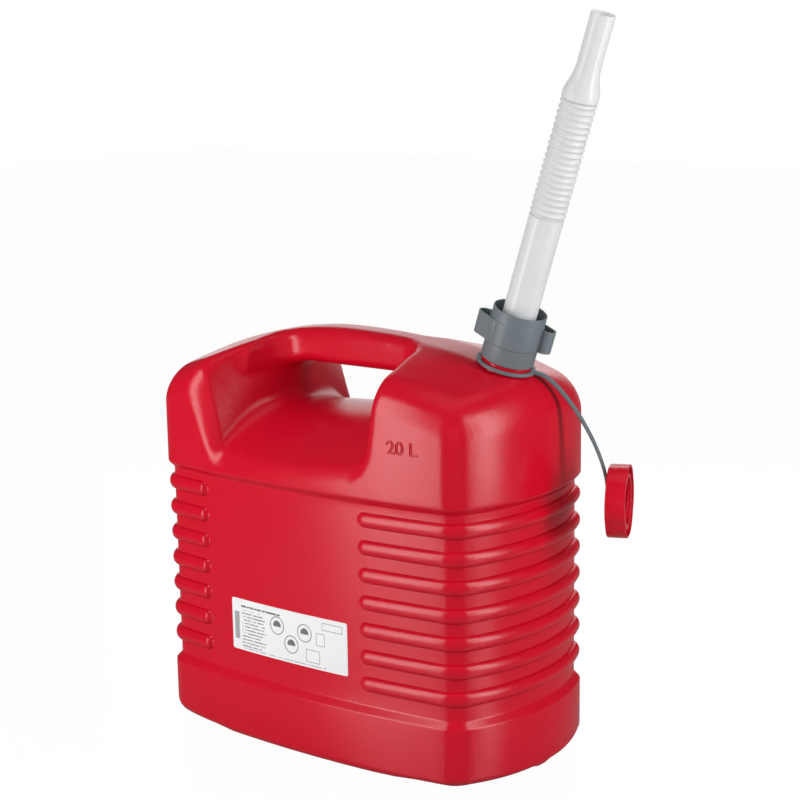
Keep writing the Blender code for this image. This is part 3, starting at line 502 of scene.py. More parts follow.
form = bmesh.new()
rows = skin(form, can_rings())
first = rows[0]
half = len(first) // 2
for i in range(1, half - 1):
    form.faces.new((first[i], first[-i], first[-i - 1], first[i + 1]))
form.faces.new((first[0], first[-1], first[1]))
form.faces.new((first[half - 1], first[half + 1], first[half]))
reach = CAN_LENGTH / 2 + 2 * GRID
side = CAN_WIDTH / 2 + 2 * GRID
points, quads = net(
    shell_distance, (-reach, -side, SHELL_JOIN), (reach, side, ROOF_TOP + 2 * GRID), GRID
)
verts = [form.verts.new(point) for point in points]
for quad in quads:
    if -1 not in quad:
        form.faces.new([verts[i] for i in quad])
loose = [v for v in verts if not v.link_faces]
bmesh.ops.delete(form, geom=loose, context="VERTS")
rim = {v for e in form.edges if e.is_boundary for v in e.verts}
top_row = set(rows[-1])
zip_up(form, rows[-1], [v for v in rim if v not in top_row])
can = piece("can_shell", RED, form)
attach(can, "can")
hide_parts("can_body")

# The neck: part of the same red moulding, with a collar at its root, a screw thread and an
# open bore. The spout's collar screws onto it.
NECK_ROOT_RADIUS = 0.0216
NECK_ROOT_HEIGHT = 0.0058
NECK_RADIUS = 0.019
NECK_BORE_RADIUS = 0.0164
NECK_HEIGHT = 0.03
NECK_DEPTH = 0.012
THREAD_PITCH = 0.005
THREAD_DEPTH = 0.0013
THREAD_START = 0.013
THREAD_RUN = 0.0125
THREAD_FOOT = 0.0011
THREAD_CREST = 0.0005
THREAD_SINK = 0.0003
THREAD_GAP = 0.0005
NECK_PLACE = Matrix.Translation((NECK_OFFSET, 0, NECK_LEVEL)) @ Matrix.Rotation(NECK_TILT, 4, "Y")


def rounded(corners, steps=4):
    """A closed profile of (radius, height, edge) corners, with each edge rounded."""
    points = []
    for i, (r, z, edge) in enumerate(corners):
        corner = Vector((r, z))
        if not edge:
            points.append((r, z))
            continue
        beside = (corners[i - 1], corners[(i + 1) % len(corners)])
        ways = [Vector(other[:2]) - corner for other in beside]
        edge = min(edge, *(way.length * 0.49 for way in ways))
        before, after = (corner + way.normalized() * edge for way in ways)
        for j in range(steps + 1):
            share = j / steps
            bend = before * (1 - share) ** 2 + corner * 2 * share * (1 - share) + after * share**2
            points.append(tuple(bend))
    return points


def circle(radius, level, steps):
    turns = [math.tau * i / steps for i in range(steps)]
    return [(radius * math.cos(a), radius * math.sin(a), level) for a in turns]


def turned(profile, place, steps=96):
    """Turn a closed profile of (radius, height) points round the Z axis of a place."""
    form = bmesh.new()
    rows = []
    for r, z in profile:
        points = circle(r, z, steps) if r > 1e-6 else [(0, 0, z)]
        rows.append([form.verts.new(point) for point in points])
    for low, high in zip(rows, rows[1:] + rows[:1]):
        if len(low) == len(high) == 1:
            continue
        for i in range(steps):
            j = (i + 1) % steps
            if len(low) == 1:
                form.faces.new((low[0], high[j], high[i]))
            elif len(high) == 1:
                form.faces.new((low[i], low[j], high[0]))
            else:
                form.faces.new((low[i], low[j], high[j], high[i]))
    form.transform(place)
    return form


def screw_thread(root, crest, start, run, place):
    """A thread's ridge from its root radius to its crest, which fades out at both ends."""
    form = bmesh.new()
    turn_steps = 72
    steps = int(turn_steps * run / THREAD_PITCH)
    sections = []
    for i in range(steps + 1):
        angle = math.tau * i / turn_steps
        tip = root + (crest - root) * min(1, math.sin(math.pi * i / steps) * 3)
        z = start + run * i / steps
        section = (
            (root, z - THREAD_FOOT), (tip, z - THREAD_CREST),
            (tip, z + THREAD_CREST), (root, z + THREAD_FOOT),
        )
        sections.append([(r * math.cos(angle), r * math.sin(angle), h) for r, h in section])
    rows = skin(form, sections)
    form.faces.new(rows[0])
    form.faces.new(rows[-1])
    form.transform(place)
    return form


tube = turned(
    rounded([
        (NECK_ROOT_RADIUS + 0.002, -0.006, 0),
        (NECK_ROOT_RADIUS, 0.0012, 0.0015),
        (NECK_ROOT_RADIUS, NECK_ROOT_HEIGHT, 0.0008),
        (NECK_RADIUS, NECK_ROOT_HEIGHT, 0.0006),
        (NECK_RADIUS, NECK_HEIGHT, 0.0008),
        (NECK_BORE_RADIUS, NECK_HEIGHT, 0.0006),
        (NECK_BORE_RADIUS, -NECK_DEPTH, 0),
        (0, -NECK_DEPTH, 0),
        (0, -NECK_DEPTH - 0.002, 0),
        (NECK_BORE_RADIUS + 0.002, -NECK_DEPTH - 0.002, 0),
    ]),
    NECK_PLACE,
)
ridge = screw_thread(
    NECK_RADIUS - THREAD_SINK, NECK_RADIUS + THREAD_DEPTH, THREAD_START, THREAD_RUN, NECK_PLACE
)
neck = piece("can_neck", RED, tube, ridge)
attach(neck, "can")
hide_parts("can_body")

# The volume mark: plain raised characters on the front of the shell, near the neck. They are
# part of the same red moulding, cut into its mould, and stand a little proud of the face.
MARK_LEFT = 0.104
MARK_WIDTH = 0.0305
MARK_BOTTOM = 0.291
MARK_HEIGHT = 0.012
MARK_RISE = 0.0007


def front_face(x, inset=0.0):
    """Where the front of the can is at this distance along it."""
    return CAN_WIDTH / 2 - SIDE_BOW_RADIUS + math.sqrt((SIDE_BOW_RADIUS - inset) ** 2 - x * x)


def plain_mesh(item):
    """The mesh that an object shows, with its text or its modifiers made plain."""
    bpy.context.view_layer.update()
    graph = bpy.context.evaluated_depsgraph_get()
    return bpy.data.meshes.new_from_object(item.evaluated_get(graph))


letters = bpy.data.curves.new("volume_mark", "FONT")
letters.body = "20 L"
letters.fill_mode = "NONE"
letters.bevel_depth = 0.03
letters.bevel_resolution = 2
words = bpy.data.objects.new("volume_mark", letters)
bpy.context.scene.collection.objects.link(words)
mesh = plain_mesh(words)
bpy.data.objects.remove(words)
low = [min(v.co[i] for v in mesh.vertices) for i in range(3)]
high = [max(v.co[i] for v in mesh.vertices) for i in range(3)]
for v in mesh.vertices:
    x = MARK_LEFT + MARK_WIDTH * (v.co.x - low[0]) / (high[0] - low[0])
    z = MARK_BOTTOM + MARK_HEIGHT * (v.co.y - low[1]) / (high[1] - low[1])
    rise = 2 * MARK_RISE * (v.co.z - low[2]) / (high[2] - low[2]) - MARK_RISE
    v.co = (x, -front_face(x) - rise, z)
form = bmesh.new()
form.from_mesh(mesh)
bmesh.ops.remove_doubles(form, verts=form.verts, dist=0.00001)
mark = piece("volume_mark", RED, form)
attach(mark, "can")

# The label: a white self-adhesive film on the flat panel of the front, with round corners. It
# is printed with rows of plain dashes, a striped block, rings with a half disc and empty fields.
LABEL_LEFT = -0.0845
LABEL_RIGHT = 0.0548
LABEL_BOTTOM = 0.084
LABEL_TOP = 0.1326
LABEL_CORNER = 0.0022
LABEL_THICKNESS = 0.0004
LABEL_BACK = 0.00005
LABEL_STEPS = 80
ROW_PITCH = 0.0031
STRIPE_PITCH = 0.0011
PRINTED_RINGS = ((0.0575, 0.032), (0.0745, 0.0175), (0.0905, 0.031))
PRINTED_RING_RADIUS = 0.0085
PRINTED_RING_LINE = 0.0009
EMPTY_FIELDS = (
    (0.092, 0.108, 0.005, 0.017), (0.104, 0.114, 0.022, 0.034), (0.111, 0.134, 0.0375, 0.0445),
)
FIELD_LINE = 0.0006


def between(value, low, high):
    """1 between two values, 0 elsewhere."""
    return (value > low) * (value < high)


def label_print(nodes, at):
    """White film with rows of dashes, a striped block, three rings and three empty fields."""
    apart = nodes.add("ShaderNodeSeparateXYZ", {"Vector": at})
    x = apart.out("X") - LABEL_LEFT
    z = apart.out("Z") - LABEL_BOTTOM
    row = (z / ROW_PITCH).floor()
    within_row = between(z / ROW_PITCH - row, 0.3, 0.62)
    uneven = nodes.add("ShaderNodeTexWhiteNoise", {"W": row}, noise_dimensions="1D").out("Value")
    dashes = noise(nodes, at, 420, 1) > 0.43
    column = between(x, 0.0125, 0.036 + uneven * 0.009) * between(z, 0.004, 0.0385)
    heading = between(x, 0.012, 0.061) * between(z, 0.0412, 0.0428)
    foot_line = between(x, 0.0125, 0.115) * between(z, 0.0019, 0.0027)
    ruling = x / STRIPE_PITCH
    stripes = (ruling - ruling.floor() < 0.6) * between(x, 0.003, 0.0092) * between(z, 0.01, 0.036)
    ink = column * within_row * dashes * 0.85 + heading * dashes * 0.95 + stripes
    for ring_x, ring_z in PRINTED_RINGS:
        centre = (LABEL_LEFT + ring_x, -front_face(0, RECESS_DEPTH), LABEL_BOTTOM + ring_z)
        away = nodes.add("ShaderNodeVectorMath", {0: at, 1: centre}, operation="SUBTRACT")
        flat = nodes.add("ShaderNodeVectorMath", {0: away, 1: (1, 0, 1)}, operation="MULTIPLY")
        reach = nodes.add("ShaderNodeVectorMath", {0: flat}, output=1, operation="LENGTH")
        ring = between(reach, PRINTED_RING_RADIUS - PRINTED_RING_LINE, PRINTED_RING_RADIUS)
        half_disc = (reach < PRINTED_RING_RADIUS * 0.55) * (z > ring_z - 0.001)
        ink = ink + ring * 0.8 + half_disc * 0.85
    for left, right, low, high in EMPTY_FIELDS:
        outer = between(x, left, right) * between(z, low, high)
        inner = between(x, left + FIELD_LINE, right - FIELD_LINE)
        inner = inner * between(z, low + FIELD_LINE, high - FIELD_LINE)
        ink = ink + (outer - inner) * 0.75
    ink = ink + foot_line * dashes * 0.6
    tone = noise(nodes, at, 30, 2)
    white = mixed(nodes, tone, (0.81, 0.82, 0.83, 1), (0.86, 0.86, 0.87, 1))
    colour = mixed(nodes, ink, white, (0.035, 0.038, 0.042, 1))
    return colour, noise(nodes, at, 220, 2) * 0.05, noise(nodes, at, 90, 2), 0.00008


LABEL_FILM = finish_material("label film", 0.34, label_print, IOR=1.45)

form = bmesh.new()
sections = []
for i in range(LABEL_STEPS + 1):
    x = LABEL_LEFT + (LABEL_RIGHT - LABEL_LEFT) * (1 - math.cos(math.pi * i / LABEL_STEPS)) / 2
    into = max(LABEL_CORNER - min(x - LABEL_LEFT, LABEL_RIGHT - x), 0)
    cut = LABEL_CORNER - math.sqrt(max(LABEL_CORNER**2 - into**2, 0))
    low, high = LABEL_BOTTOM + cut, LABEL_TOP - cut
    face = front_face(x, RECESS_DEPTH)
    section = (
        (LABEL_BACK, low), (LABEL_THICKNESS, low), (LABEL_THICKNESS, high), (LABEL_BACK, high),
    )
    sections.append([(x, -face - rise, z) for rise, z in section])
columns = skin(form, sections)
form.faces.new(columns[0])
form.faces.new(columns[-1])
label = piece("label_print", LABEL_FILM, form)
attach(label, "can")
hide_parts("label")

# The strap: one moulded strip of soft grey polyethylene. A loose ring lies round the neck's
# root, and a flat leash arches from it to an eye, which holds the closure cap by its stud.
RING_INNER_RADIUS = 0.0224
RING_OUTER_RADIUS = 0.026
RING_THICKNESS = 0.0026
RING_SEAT = 0.0006
STRAP_HEADING = math.radians(25)
STRAP_WIDTH = 0.0066
STRAP_THICKNESS = 0.002
STRAP_EDGE = 0.0004
STRAP_TAB = 0.0052
BEND_LEAD = 0.002
LEASH_TAIL = (0.0062, 0.0045, 0.003, 0.0015)
LEASH_STEPS = 60
LEASH_RISE = 0.019
LEASH_DROP = 0.0355
EYE_RADIUS = 0.008
EYE_THICKNESS = 0.0026
EYE_BORE_RADIUS = 0.0043
EYE_POCKET_RADIUS = 0.0059
EYE_POCKET_DEPTH = 0.0014
EDGE_ROUND = 0.0006
CAP_REACH = 0.09
CAP_LEVEL = 0.2405
SEAT_GAP = 0.0003
STRAP_PLACE = NECK_PLACE @ Matrix.Rotation(STRAP_HEADING, 4, "Z")
STRAP_MIDDLE = RING_SEAT + RING_THICKNESS - STRAP_THICKNESS / 2
HINGE_PLACE = STRAP_PLACE @ Matrix.Translation((RING_OUTER_RADIUS + STRAP_TAB, 0, STRAP_MIDDLE))
HEADING = Vector((math.cos(STRAP_HEADING), math.sin(STRAP_HEADING), 0))
CAP_TURN = Matrix.Rotation(STRAP_HEADING, 4, "Z") @ Matrix.Rotation(math.pi / 2, 4, "Y")
CAP_SEAT = Vector((NECK_OFFSET, 0, CAP_LEVEL)) + HEADING * CAP_REACH
CAP_PLACE = Matrix.Translation(CAP_SEAT) @ CAP_TURN
EYE_LEVEL = -SEAT_GAP - EYE_THICKNESS


def grey_finish(nodes, at):
    """Satin grey polyethylene with a fine grain and slightly cloudy colour."""
    flow = noise(nodes, at, 60, 3)
    colour = mixed(nodes, flow, (0.125, 0.155, 0.17, 1), (0.17, 0.20, 0.22, 1))
    grain = noise(nodes, at, 900, 2)
    return colour, flow * 0.08 + grain * 0.05, grain * 0.6 + noise(nodes, at, 240, 2), 0.00012


GREY = finish_material("grey polyethylene", 0.36, grey_finish, IOR=1.5)


def new_tree(name, **sizes):
    """A geometry tree that takes a mesh and named sizes."""
    tree = bpy.data.node_groups.new(name, "GeometryNodeTree")
    tree.interface.new_socket("Geometry", in_out="INPUT", socket_type="NodeSocketGeometry")
    for label_text, kind in sizes.items():
        tree.interface.new_socket(label_text, in_out="INPUT", socket_type="NodeSocket" + kind)
    tree.interface.new_socket("Geometry", in_out="OUTPUT", socket_type="NodeSocketGeometry")
    nodes = Nodes(tree)
    return nodes, nodes.add("NodeGroupInput")


def end_tree(nodes, geometry, given):
    """The end of a geometry tree: plain geometry with its material."""
    geometry = nodes.add("GeometryNodeRealizeInstances", {"Geometry": geometry})
    finished = {"Geometry": geometry, "Material": given.out("Plastic")}
    nodes.add("NodeGroupOutput", {"Geometry": nodes.add("GeometryNodeSetMaterial", finished)})


def grown(nodes, mesh, **sizes):
    """The plain mesh that a geometry tree makes of another mesh."""
    item = bpy.data.objects.new(nodes.tree.name, mesh)
    bpy.context.scene.collection.objects.link(item)
    step = item.modifiers.new("build", "NODES")
    step.node_group = nodes.tree
    for socket in nodes.tree.interface.items_tree:
        if socket.in_out == "INPUT" and socket.name in sizes:
            step[socket.identifier] = sizes[socket.name]
    result = plain_mesh(item)
    item.modifiers.remove(step)
    bpy.data.objects.remove(item)
    return result


nodes, given = new_tree(
    "strap strip",
    Width="Float", Thickness="Float", Edge="Float",
    SideAtRing="Vector", SideAtCap="Vector", Plastic="Material",
)
path = nodes.add("GeometryNodeMeshToCurve", {"Mesh": given.out("Geometry")})
along = nodes.add("GeometryNodeSplineParameter")
sides = {0: along, 4: given.out("SideAtRing"), 5: given.out("SideAtCap")}
side = nodes.add("ShaderNodeMix", sides, output=1, data_type="VECTOR")
path = nodes.add("GeometryNodeSetCurveNormal", {"Curve": path, "Normal": side}, mode="FREE")
sizes = {"Width": given.out("Width"), "Height": given.out("Thickness")}
section = nodes.add("GeometryNodeCurvePrimitiveQuadrilateral", sizes)
round_edges = {"Curve": section, "Count": 3, "Radius": given.out("Edge")}
section = nodes.add("GeometryNodeFilletCurve", round_edges, mode="POLY")
swept = {"Curve": path, "Profile Curve": section, "Fill Caps": True}
end_tree(nodes, nodes.add("GeometryNodeCurveToMesh", swept), given)

start = HINGE_PLACE.translation
out = HINGE_PLACE.to_3x3() @ Vector((1, 0, 0))
end = CAP_PLACE @ Vector((0, 0, EYE_LEVEL + EYE_THICKNESS / 2))
over_eye = end + Vector((0, 0, EYE_RADIUS))
curve = (start, start + out * LEASH_RISE, over_eye + Vector((0, 0, LEASH_DROP)), over_eye)
way = [start - out * reach for reach in LEASH_TAIL]
for i in range(LEASH_STEPS + 1):
    share = i / LEASH_STEPS
    left = 1 - share
    weights = (left**3, 3 * left**2 * share, 3 * left * share**2, share**3)
    way.append(sum((point * weight for point, weight in zip(curve, weights)), Vector()))
way.append(end + Vector((0, 0, EYE_RADIUS / 2)))
mesh = bpy.data.meshes.new("leash path")
mesh.from_pydata(way, [(i, i + 1) for i in range(len(way) - 1)], [])
mesh = grown(
    nodes, mesh,
    Width=STRAP_WIDTH, Thickness=STRAP_THICKNESS, Edge=STRAP_EDGE,
    SideAtRing=HINGE_PLACE.to_3x3() @ Vector((0, 1, 0)),
    SideAtCap=CAP_TURN.to_3x3() @ Vector((0, 1, 0)),
    Plastic=GREY,
)
leash = bmesh.new()
leash.from_mesh(mesh)
ring = turned(
    rounded([
        (RING_OUTER_RADIUS, RING_SEAT, EDGE_ROUND),
        (RING_OUTER_RADIUS, RING_SEAT + RING_THICKNESS, EDGE_ROUND),
        (RING_INNER_RADIUS, RING_SEAT + RING_THICKNESS, EDGE_ROUND),
        (RING_INNER_RADIUS, RING_SEAT, EDGE_ROUND),
    ]),
    STRAP_PLACE,
)
eye = turned(
    rounded([
        (EYE_RADIUS, EYE_LEVEL, EDGE_ROUND),
        (EYE_RADIUS, EYE_LEVEL + EYE_THICKNESS, EDGE_ROUND),
        (EYE_BORE_RADIUS, EYE_LEVEL + EYE_THICKNESS, 0.0003),
        (EYE_BORE_RADIUS, EYE_LEVEL + EYE_POCKET_DEPTH, 0.0002),
        (EYE_POCKET_RADIUS, EYE_LEVEL + EYE_POCKET_DEPTH, 0.0002),
        (EYE_POCKET_RADIUS, EYE_LEVEL, 0.0003),
    ]),
    CAP_PLACE, 64,
)
strap = piece("strap", GREY, ring, leash, eye)
tuple(start - out * BEND_LEAD)
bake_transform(strap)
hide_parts("strap_ring", "strap_leash")

# The closure cap: a red screw cap with a gripped skirt and an inner threaded ring. It is
# injection moulded, and hangs by a stud on its back that is snapped into the strap's eye.
CAP_RADIUS = 0.032
CAP_DEPTH = 0.0175
CAP_LOBE_DEPTH = 0.0013
CAP_PLATE = 0.002
CAP_THREAD_START = 0.0068
CAP_THREAD_RUN = 0.007
STUD_RADIUS = 0.004
STUD_HEAD_RADIUS = 0.0056
CAP_BORE_RADIUS = NECK_RADIUS + THREAD_DEPTH + THREAD_GAP
CAP_RING_WALL = 0.0036
CAP_SKIRT_WALL = 0.0018
CAP_RING_RADIUS = CAP_BORE_RADIUS + CAP_RING_WALL
CAP_SKIRT_INNER = CAP_RADIUS - CAP_SKIRT_WALL
CAP_RING_TOP = CAP_DEPTH - 0.001
CAP_STEPS = 180


def lobed(form, profile):
    """Turn a closed profile of (radius, height, edge, share of the lobes' depth) corners."""
    rings = []
    for r, z in rounded([corner[:3] for corner in profile], 3):
        nearest = min(profile, key=lambda corner: (corner[0] - r) ** 2 + (corner[1] - z) ** 2)
        ring = []
        for i in range(CAP_STEPS):
            angle = math.tau * i / CAP_STEPS
            reach = r - CAP_LOBE_DEPTH * (1 - abs(math.sin(3 * angle))) ** 1.5 * nearest[3]
            ring.append((reach * math.cos(angle), reach * math.sin(angle), z))
        rings.append(ring)
    skin(form, rings, closed=True)


skirt = bmesh.new()
lobed(skirt, [
    (CAP_RADIUS, 0, 0.0012, 1),
    (CAP_RADIUS, CAP_DEPTH, 0.0007, 1),
    (CAP_SKIRT_INNER, CAP_DEPTH, 0.0005, 1),
    (CAP_SKIRT_INNER, CAP_PLATE, 0.0006, 1),
    (CAP_RING_RADIUS, CAP_PLATE, 0.0006, 0),
    (CAP_RING_RADIUS, CAP_RING_TOP, 0.0005, 0),
    (CAP_BORE_RADIUS, CAP_RING_TOP, 0.0005, 0),
    (CAP_BORE_RADIUS, CAP_PLATE, 0.0003, 0),
    (0.001, CAP_PLATE, 0, 0),
    (0.001, 0, 0, 0),
])
skirt.transform(CAP_PLACE)
stud_level = EYE_LEVEL + EYE_POCKET_DEPTH - SEAT_GAP
stud = turned(
    rounded([
        (0, CAP_PLATE * 0.6, 0),
        (STUD_RADIUS, CAP_PLATE * 0.6, 0),
        (STUD_RADIUS, stud_level, 0.0002),
        (STUD_HEAD_RADIUS, stud_level, 0.0003),
        (STUD_HEAD_RADIUS, EYE_LEVEL, EDGE_ROUND),
        (0, EYE_LEVEL, 0),
    ]),
    CAP_PLACE, 64,
)
ridge = screw_thread(
    CAP_BORE_RADIUS + THREAD_SINK, NECK_RADIUS + THREAD_GAP,
    CAP_THREAD_START, CAP_THREAD_RUN, CAP_PLACE,
)
cap = piece("screw_cap", RED, skirt, stud, ridge)
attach(cap, "cap")
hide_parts("closure_cap")

# The seals: flat rings of dark rubber, one in the closure cap and one between the neck's rim
# and the spout's flange.
SEAL_LEVEL = NECK_HEIGHT + SEAT_GAP
SEAL_THICKNESS = 0.002
CAP_SEAL_THICKNESS = 0.0016
SPOUT_SEAL_INNER_RADIUS = 0.014
FLANGE_RADIUS = 0.0186


def rubber_finish(nodes, at):
    """Matt black rubber with a fine, slightly dusty grain."""
    dust = noise(nodes, at, 300, 3)
    colour = mixed(nodes, dust, (0.03, 0.03, 0.034, 1), (0.055, 0.055, 0.058, 1))
    return colour, dust * 0.15, noise(nodes, at, 1500, 2), 0.00008


RUBBER = finish_material("seal rubber", 0.55, rubber_finish, IOR=1.5)


def flat_ring(name, outer, inner, foot, thickness, place):
    corners = [(outer, foot), (outer, foot + thickness), (inner, foot + thickness), (inner, foot)]
    ring = turned(rounded([(r, z, 0.0003) for r, z in corners]), place)
    return piece(name, RUBBER, ring)


cap_ring = flat_ring(
    "cap_sealing_ring", CAP_BORE_RADIUS - SEAT_GAP, NECK_BORE_RADIUS - 0.002,
    CAP_PLATE + SEAT_GAP, CAP_SEAL_THICKNESS, CAP_PLACE,
)
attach(cap_ring, "cap")
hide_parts("cap_seal")
spout_ring = flat_ring(
    "spout_sealing_ring", FLANGE_RADIUS, SPOUT_SEAL_INNER_RADIUS,
    SEAL_LEVEL, SEAL_THICKNESS, NECK_PLACE,
)
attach(spout_ring, "spout")
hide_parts("spout_seal")

# The spout: one blow-moulded tube of milky, translucent polyethylene. A smooth tube with a
# flange stands in the collar, a ribbed stretch bends, and a cone leads to the narrow end.
FLANGE_LEVEL = SEAL_LEVEL + SEAL_THICKNESS + SEAT_GAP
FLANGE_THICKNESS = 0.0025
TUBE_RADIUS = 0.0148
TUBE_WALL = 0.0014
TUBE_LENGTH = 0.104
TUBE_TOP = FLANGE_LEVEL + TUBE_LENGTH
BELLOWS_RIBS = 19
BELLOWS_PITCH = 0.0052
BELLOWS_CREST_RADIUS = 0.0155
BELLOWS_ROOT_RADIUS = 0.0145
BELLOWS_WALL = 0.0012
RIB_SECTION = (
    (0, 0), (0.3, 0), (0.42, 0.35), (0.52, 0.8), (0.6, 1),
    (0.7, 0.95), (0.8, 0.6), (0.9, 0.2), (1, 0),
)
RIB_STEPS = 72
BELLOWS_TOP = TUBE_TOP + BELLOWS_RIBS * BELLOWS_PITCH + 0.0006
CONE_LENGTH = 0.023
CONE_SHOULDER = 0.0075
CONE_SHOULDER_ROUND = 0.006
CONE_ROUND = 0.009
NOZZLE_RADIUS = 0.0102
NOZZLE_LENGTH = 0.049


def milky_finish(nodes, at):
    """Natural polyethylene, slightly cloudy, with faint flow marks."""
    cloud = noise(nodes, at, 25, 3)
    colour = mixed(nodes, cloud, (0.88, 0.885, 0.905, 1), (0.92, 0.925, 0.94, 1))
    return colour, cloud * 0.12, noise(nodes, at, 160, 2), 0.00015


MILKY = finish_material(
    "milky polyethylene", 0.24, milky_finish,
    IOR=1.5, Transmission_Weight=0.3, Subsurface_Weight=0.2, Subsurface_Scale=0.002,
    Subsurface_Radius=(1, 1, 1),
)

wall = turned(
    rounded([
        (TUBE_RADIUS, TUBE_TOP, 0.0002),
        (TUBE_RADIUS - TUBE_WALL, TUBE_TOP, 0.0002),
        (TUBE_RADIUS - TUBE_WALL, FLANGE_LEVEL, 0.0004),
        (FLANGE_RADIUS, FLANGE_LEVEL, 0.0005),
        (FLANGE_RADIUS, FLANGE_LEVEL + FLANGE_THICKNESS, 0.0005),
        (TUBE_RADIUS, FLANGE_LEVEL + FLANGE_THICKNESS, 0.0008),
    ]),
    NECK_PLACE,
)
tube = piece("spout_smooth_tube", MILKY, wall)
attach(tube, "spout")
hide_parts("spout_tube")

nodes, given = new_tree("spout ribs", Ribs="Int", Pitch="Float", Plastic="Material")
rise = nodes.add("ShaderNodeCombineXYZ", {"Z": given.out("Pitch")})
stack = {"Count": given.out("Ribs"), "Offset": rise}
places = nodes.add("GeometryNodeMeshLine", stack, mode="OFFSET")
instances = {"Points": places, "Instance": given.out("Geometry")}
ribs = nodes.add("GeometryNodeInstanceOnPoints", instances)
ribs = nodes.add("GeometryNodeRealizeInstances", {"Geometry": ribs})
joined = {"Geometry": ribs, "Distance": 0.00002}
end_tree(nodes, nodes.add("GeometryNodeMergeByDistance", joined), given)

rib = bmesh.new()
for inwards in (0, BELLOWS_WALL):
    rings = []
    for share, height in RIB_SECTION:
        r = BELLOWS_ROOT_RADIUS + (BELLOWS_CREST_RADIUS - BELLOWS_ROOT_RADIUS) * height - inwards
        rings.append(circle(r, share * BELLOWS_PITCH, RIB_STEPS))
    skin(rib, rings)
mesh = grown(nodes, one_mesh("one rib", rib), Ribs=BELLOWS_RIBS, Pitch=BELLOWS_PITCH, Plastic=MILKY)
form = bmesh.new()
form.from_mesh(mesh)
for level in (0, BELLOWS_RIBS * BELLOWS_PITCH):
    rim = [vert for vert in form.verts if vert.is_boundary and abs(vert.co.z - level) < 0.0001]
    pairs = [[] for _ in range(RIB_STEPS)]
    for vert in sorted(rim, key=lambda vert: vert.co.xy.length):
        turn = math.atan2(vert.co.y, vert.co.x) / math.tau
        pairs[round(turn * RIB_STEPS) % RIB_STEPS].append(vert)
    for (inner, outer), (next_inner, next_outer) in zip(pairs, pairs[1:] + pairs[:1]):
        form.faces.new((inner, outer, next_outer, next_inner))
form.transform(NECK_PLACE @ Matrix.Translation((0, 0, TUBE_TOP + SEAT_GAP)))
bellows = piece("spout_ribs", MILKY, form)
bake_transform(bellows)
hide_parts("spout_bellows")

shoulder = BELLOWS_TOP + CONE_SHOULDER
cone_top = BELLOWS_TOP + CONE_LENGTH
tip = cone_top + NOZZLE_LENGTH
wall = turned(
    rounded([
        (BELLOWS_ROOT_RADIUS, BELLOWS_TOP, 0),
        (BELLOWS_CREST_RADIUS + 0.0001, BELLOWS_TOP + 0.0016, 0.0008),
        (BELLOWS_CREST_RADIUS, shoulder, CONE_SHOULDER_ROUND),
        (NOZZLE_RADIUS, cone_top, CONE_ROUND),
        (NOZZLE_RADIUS, tip, 0.0004),
        (NOZZLE_RADIUS - TUBE_WALL, tip, 0.0004),
        (NOZZLE_RADIUS - TUBE_WALL, cone_top, CONE_ROUND),
        (BELLOWS_CREST_RADIUS - TUBE_WALL, shoulder, CONE_SHOULDER_ROUND),
        (BELLOWS_ROOT_RADIUS - TUBE_WALL, BELLOWS_TOP, 0),
    ], 8),
    NECK_PLACE,
)
nozzle = piece("spout_narrow_end", MILKY, wall)
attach(nozzle, "nozzle")
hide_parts("spout_nozzle")

# The collar: a grey screw collar that clamps the spout's flange on the neck. It is injection
# moulded in one, with a skirt, an open cup and two looped ears to turn it by.
COLLAR_BOTTOM = 0.0065
COLLAR_SKIRT_RADIUS = 0.0233
COLLAR_CUP_RADIUS = 0.0239
COLLAR_STEP = 0.0225
COLLAR_TOP = 0.052
COLLAR_CUP_WALL = 0.0018
COLLAR_CUP_STEP = 0.0005
COLLAR_WEB = 0.0025
COLLAR_THREAD_RUN = 0.005
EAR_HEIGHT = 0.0196
EAR_REACH = 0.0284
EAR_END_RADIUS = 0.007
EAR_THICKNESS = 0.0017
EAR_HEADING = math.radians(-104)
WEB_LEVEL = FLANGE_LEVEL + FLANGE_THICKNESS + SEAT_GAP


def arc(centre, radius, start_angle, end_angle, count):
    """Points along an arc, with both its ends."""
    turns = [start_angle + (end_angle - start_angle) * i / count for i in range(count + 1)]
    return [(centre[0] + radius * math.cos(a), centre[1] + radius * math.sin(a)) for a in turns]


def ear(place):
    """One ear: a band that leaves the cup as a tangent, turns back and returns to it."""
    outer = COLLAR_CUP_RADIUS
    centre = (EAR_REACH - EAR_END_RADIUS, outer - EAR_END_RADIUS)
    buried = outer - COLLAR_CUP_WALL / 2
    back = outer - 2 * EAR_END_RADIUS
    inner_back = back + EAR_THICKNESS
    inner_front = outer - EAR_THICKNESS
    quarter = math.pi / 2
    outline = [(0, buried), (EAR_THICKNESS, outer)]
    outline += [(EAR_THICKNESS + (centre[0] - EAR_THICKNESS) * i / 8, outer) for i in range(1, 8)]
    outline += arc(centre, EAR_END_RADIUS, quarter, -quarter, 24)
    reach = math.sqrt(outer**2 - back**2)
    outline += [(reach + 0.0022, back), (reach + 0.0009, back - 0.0004)]
    outline.append((reach + 0.0002, back - 0.0014))
    outline.append((math.sqrt(buried**2 - back**2), back - 0.0016))
    outline.append((math.sqrt(buried**2 - inner_back**2), inner_back))
    outline += arc(centre, EAR_END_RADIUS - EAR_THICKNESS, -quarter, quarter, 24)
    outline.append((math.sqrt(buried**2 - inner_front**2), inner_front))
    form = bmesh.new()
    levels = (COLLAR_STEP, COLLAR_STEP + EAR_HEIGHT)
    rows = skin(form, [[(x, y, level) for x, y in outline] for level in levels])
    rims = [form.faces.new(row) for row in rows]
    edges = [edge for face in rims for edge in face.edges]
    bmesh.ops.bevel(form, geom=edges, offset=0.0004, segments=2, profile=0.5, affect="EDGES")
    form.transform(place)
    return form


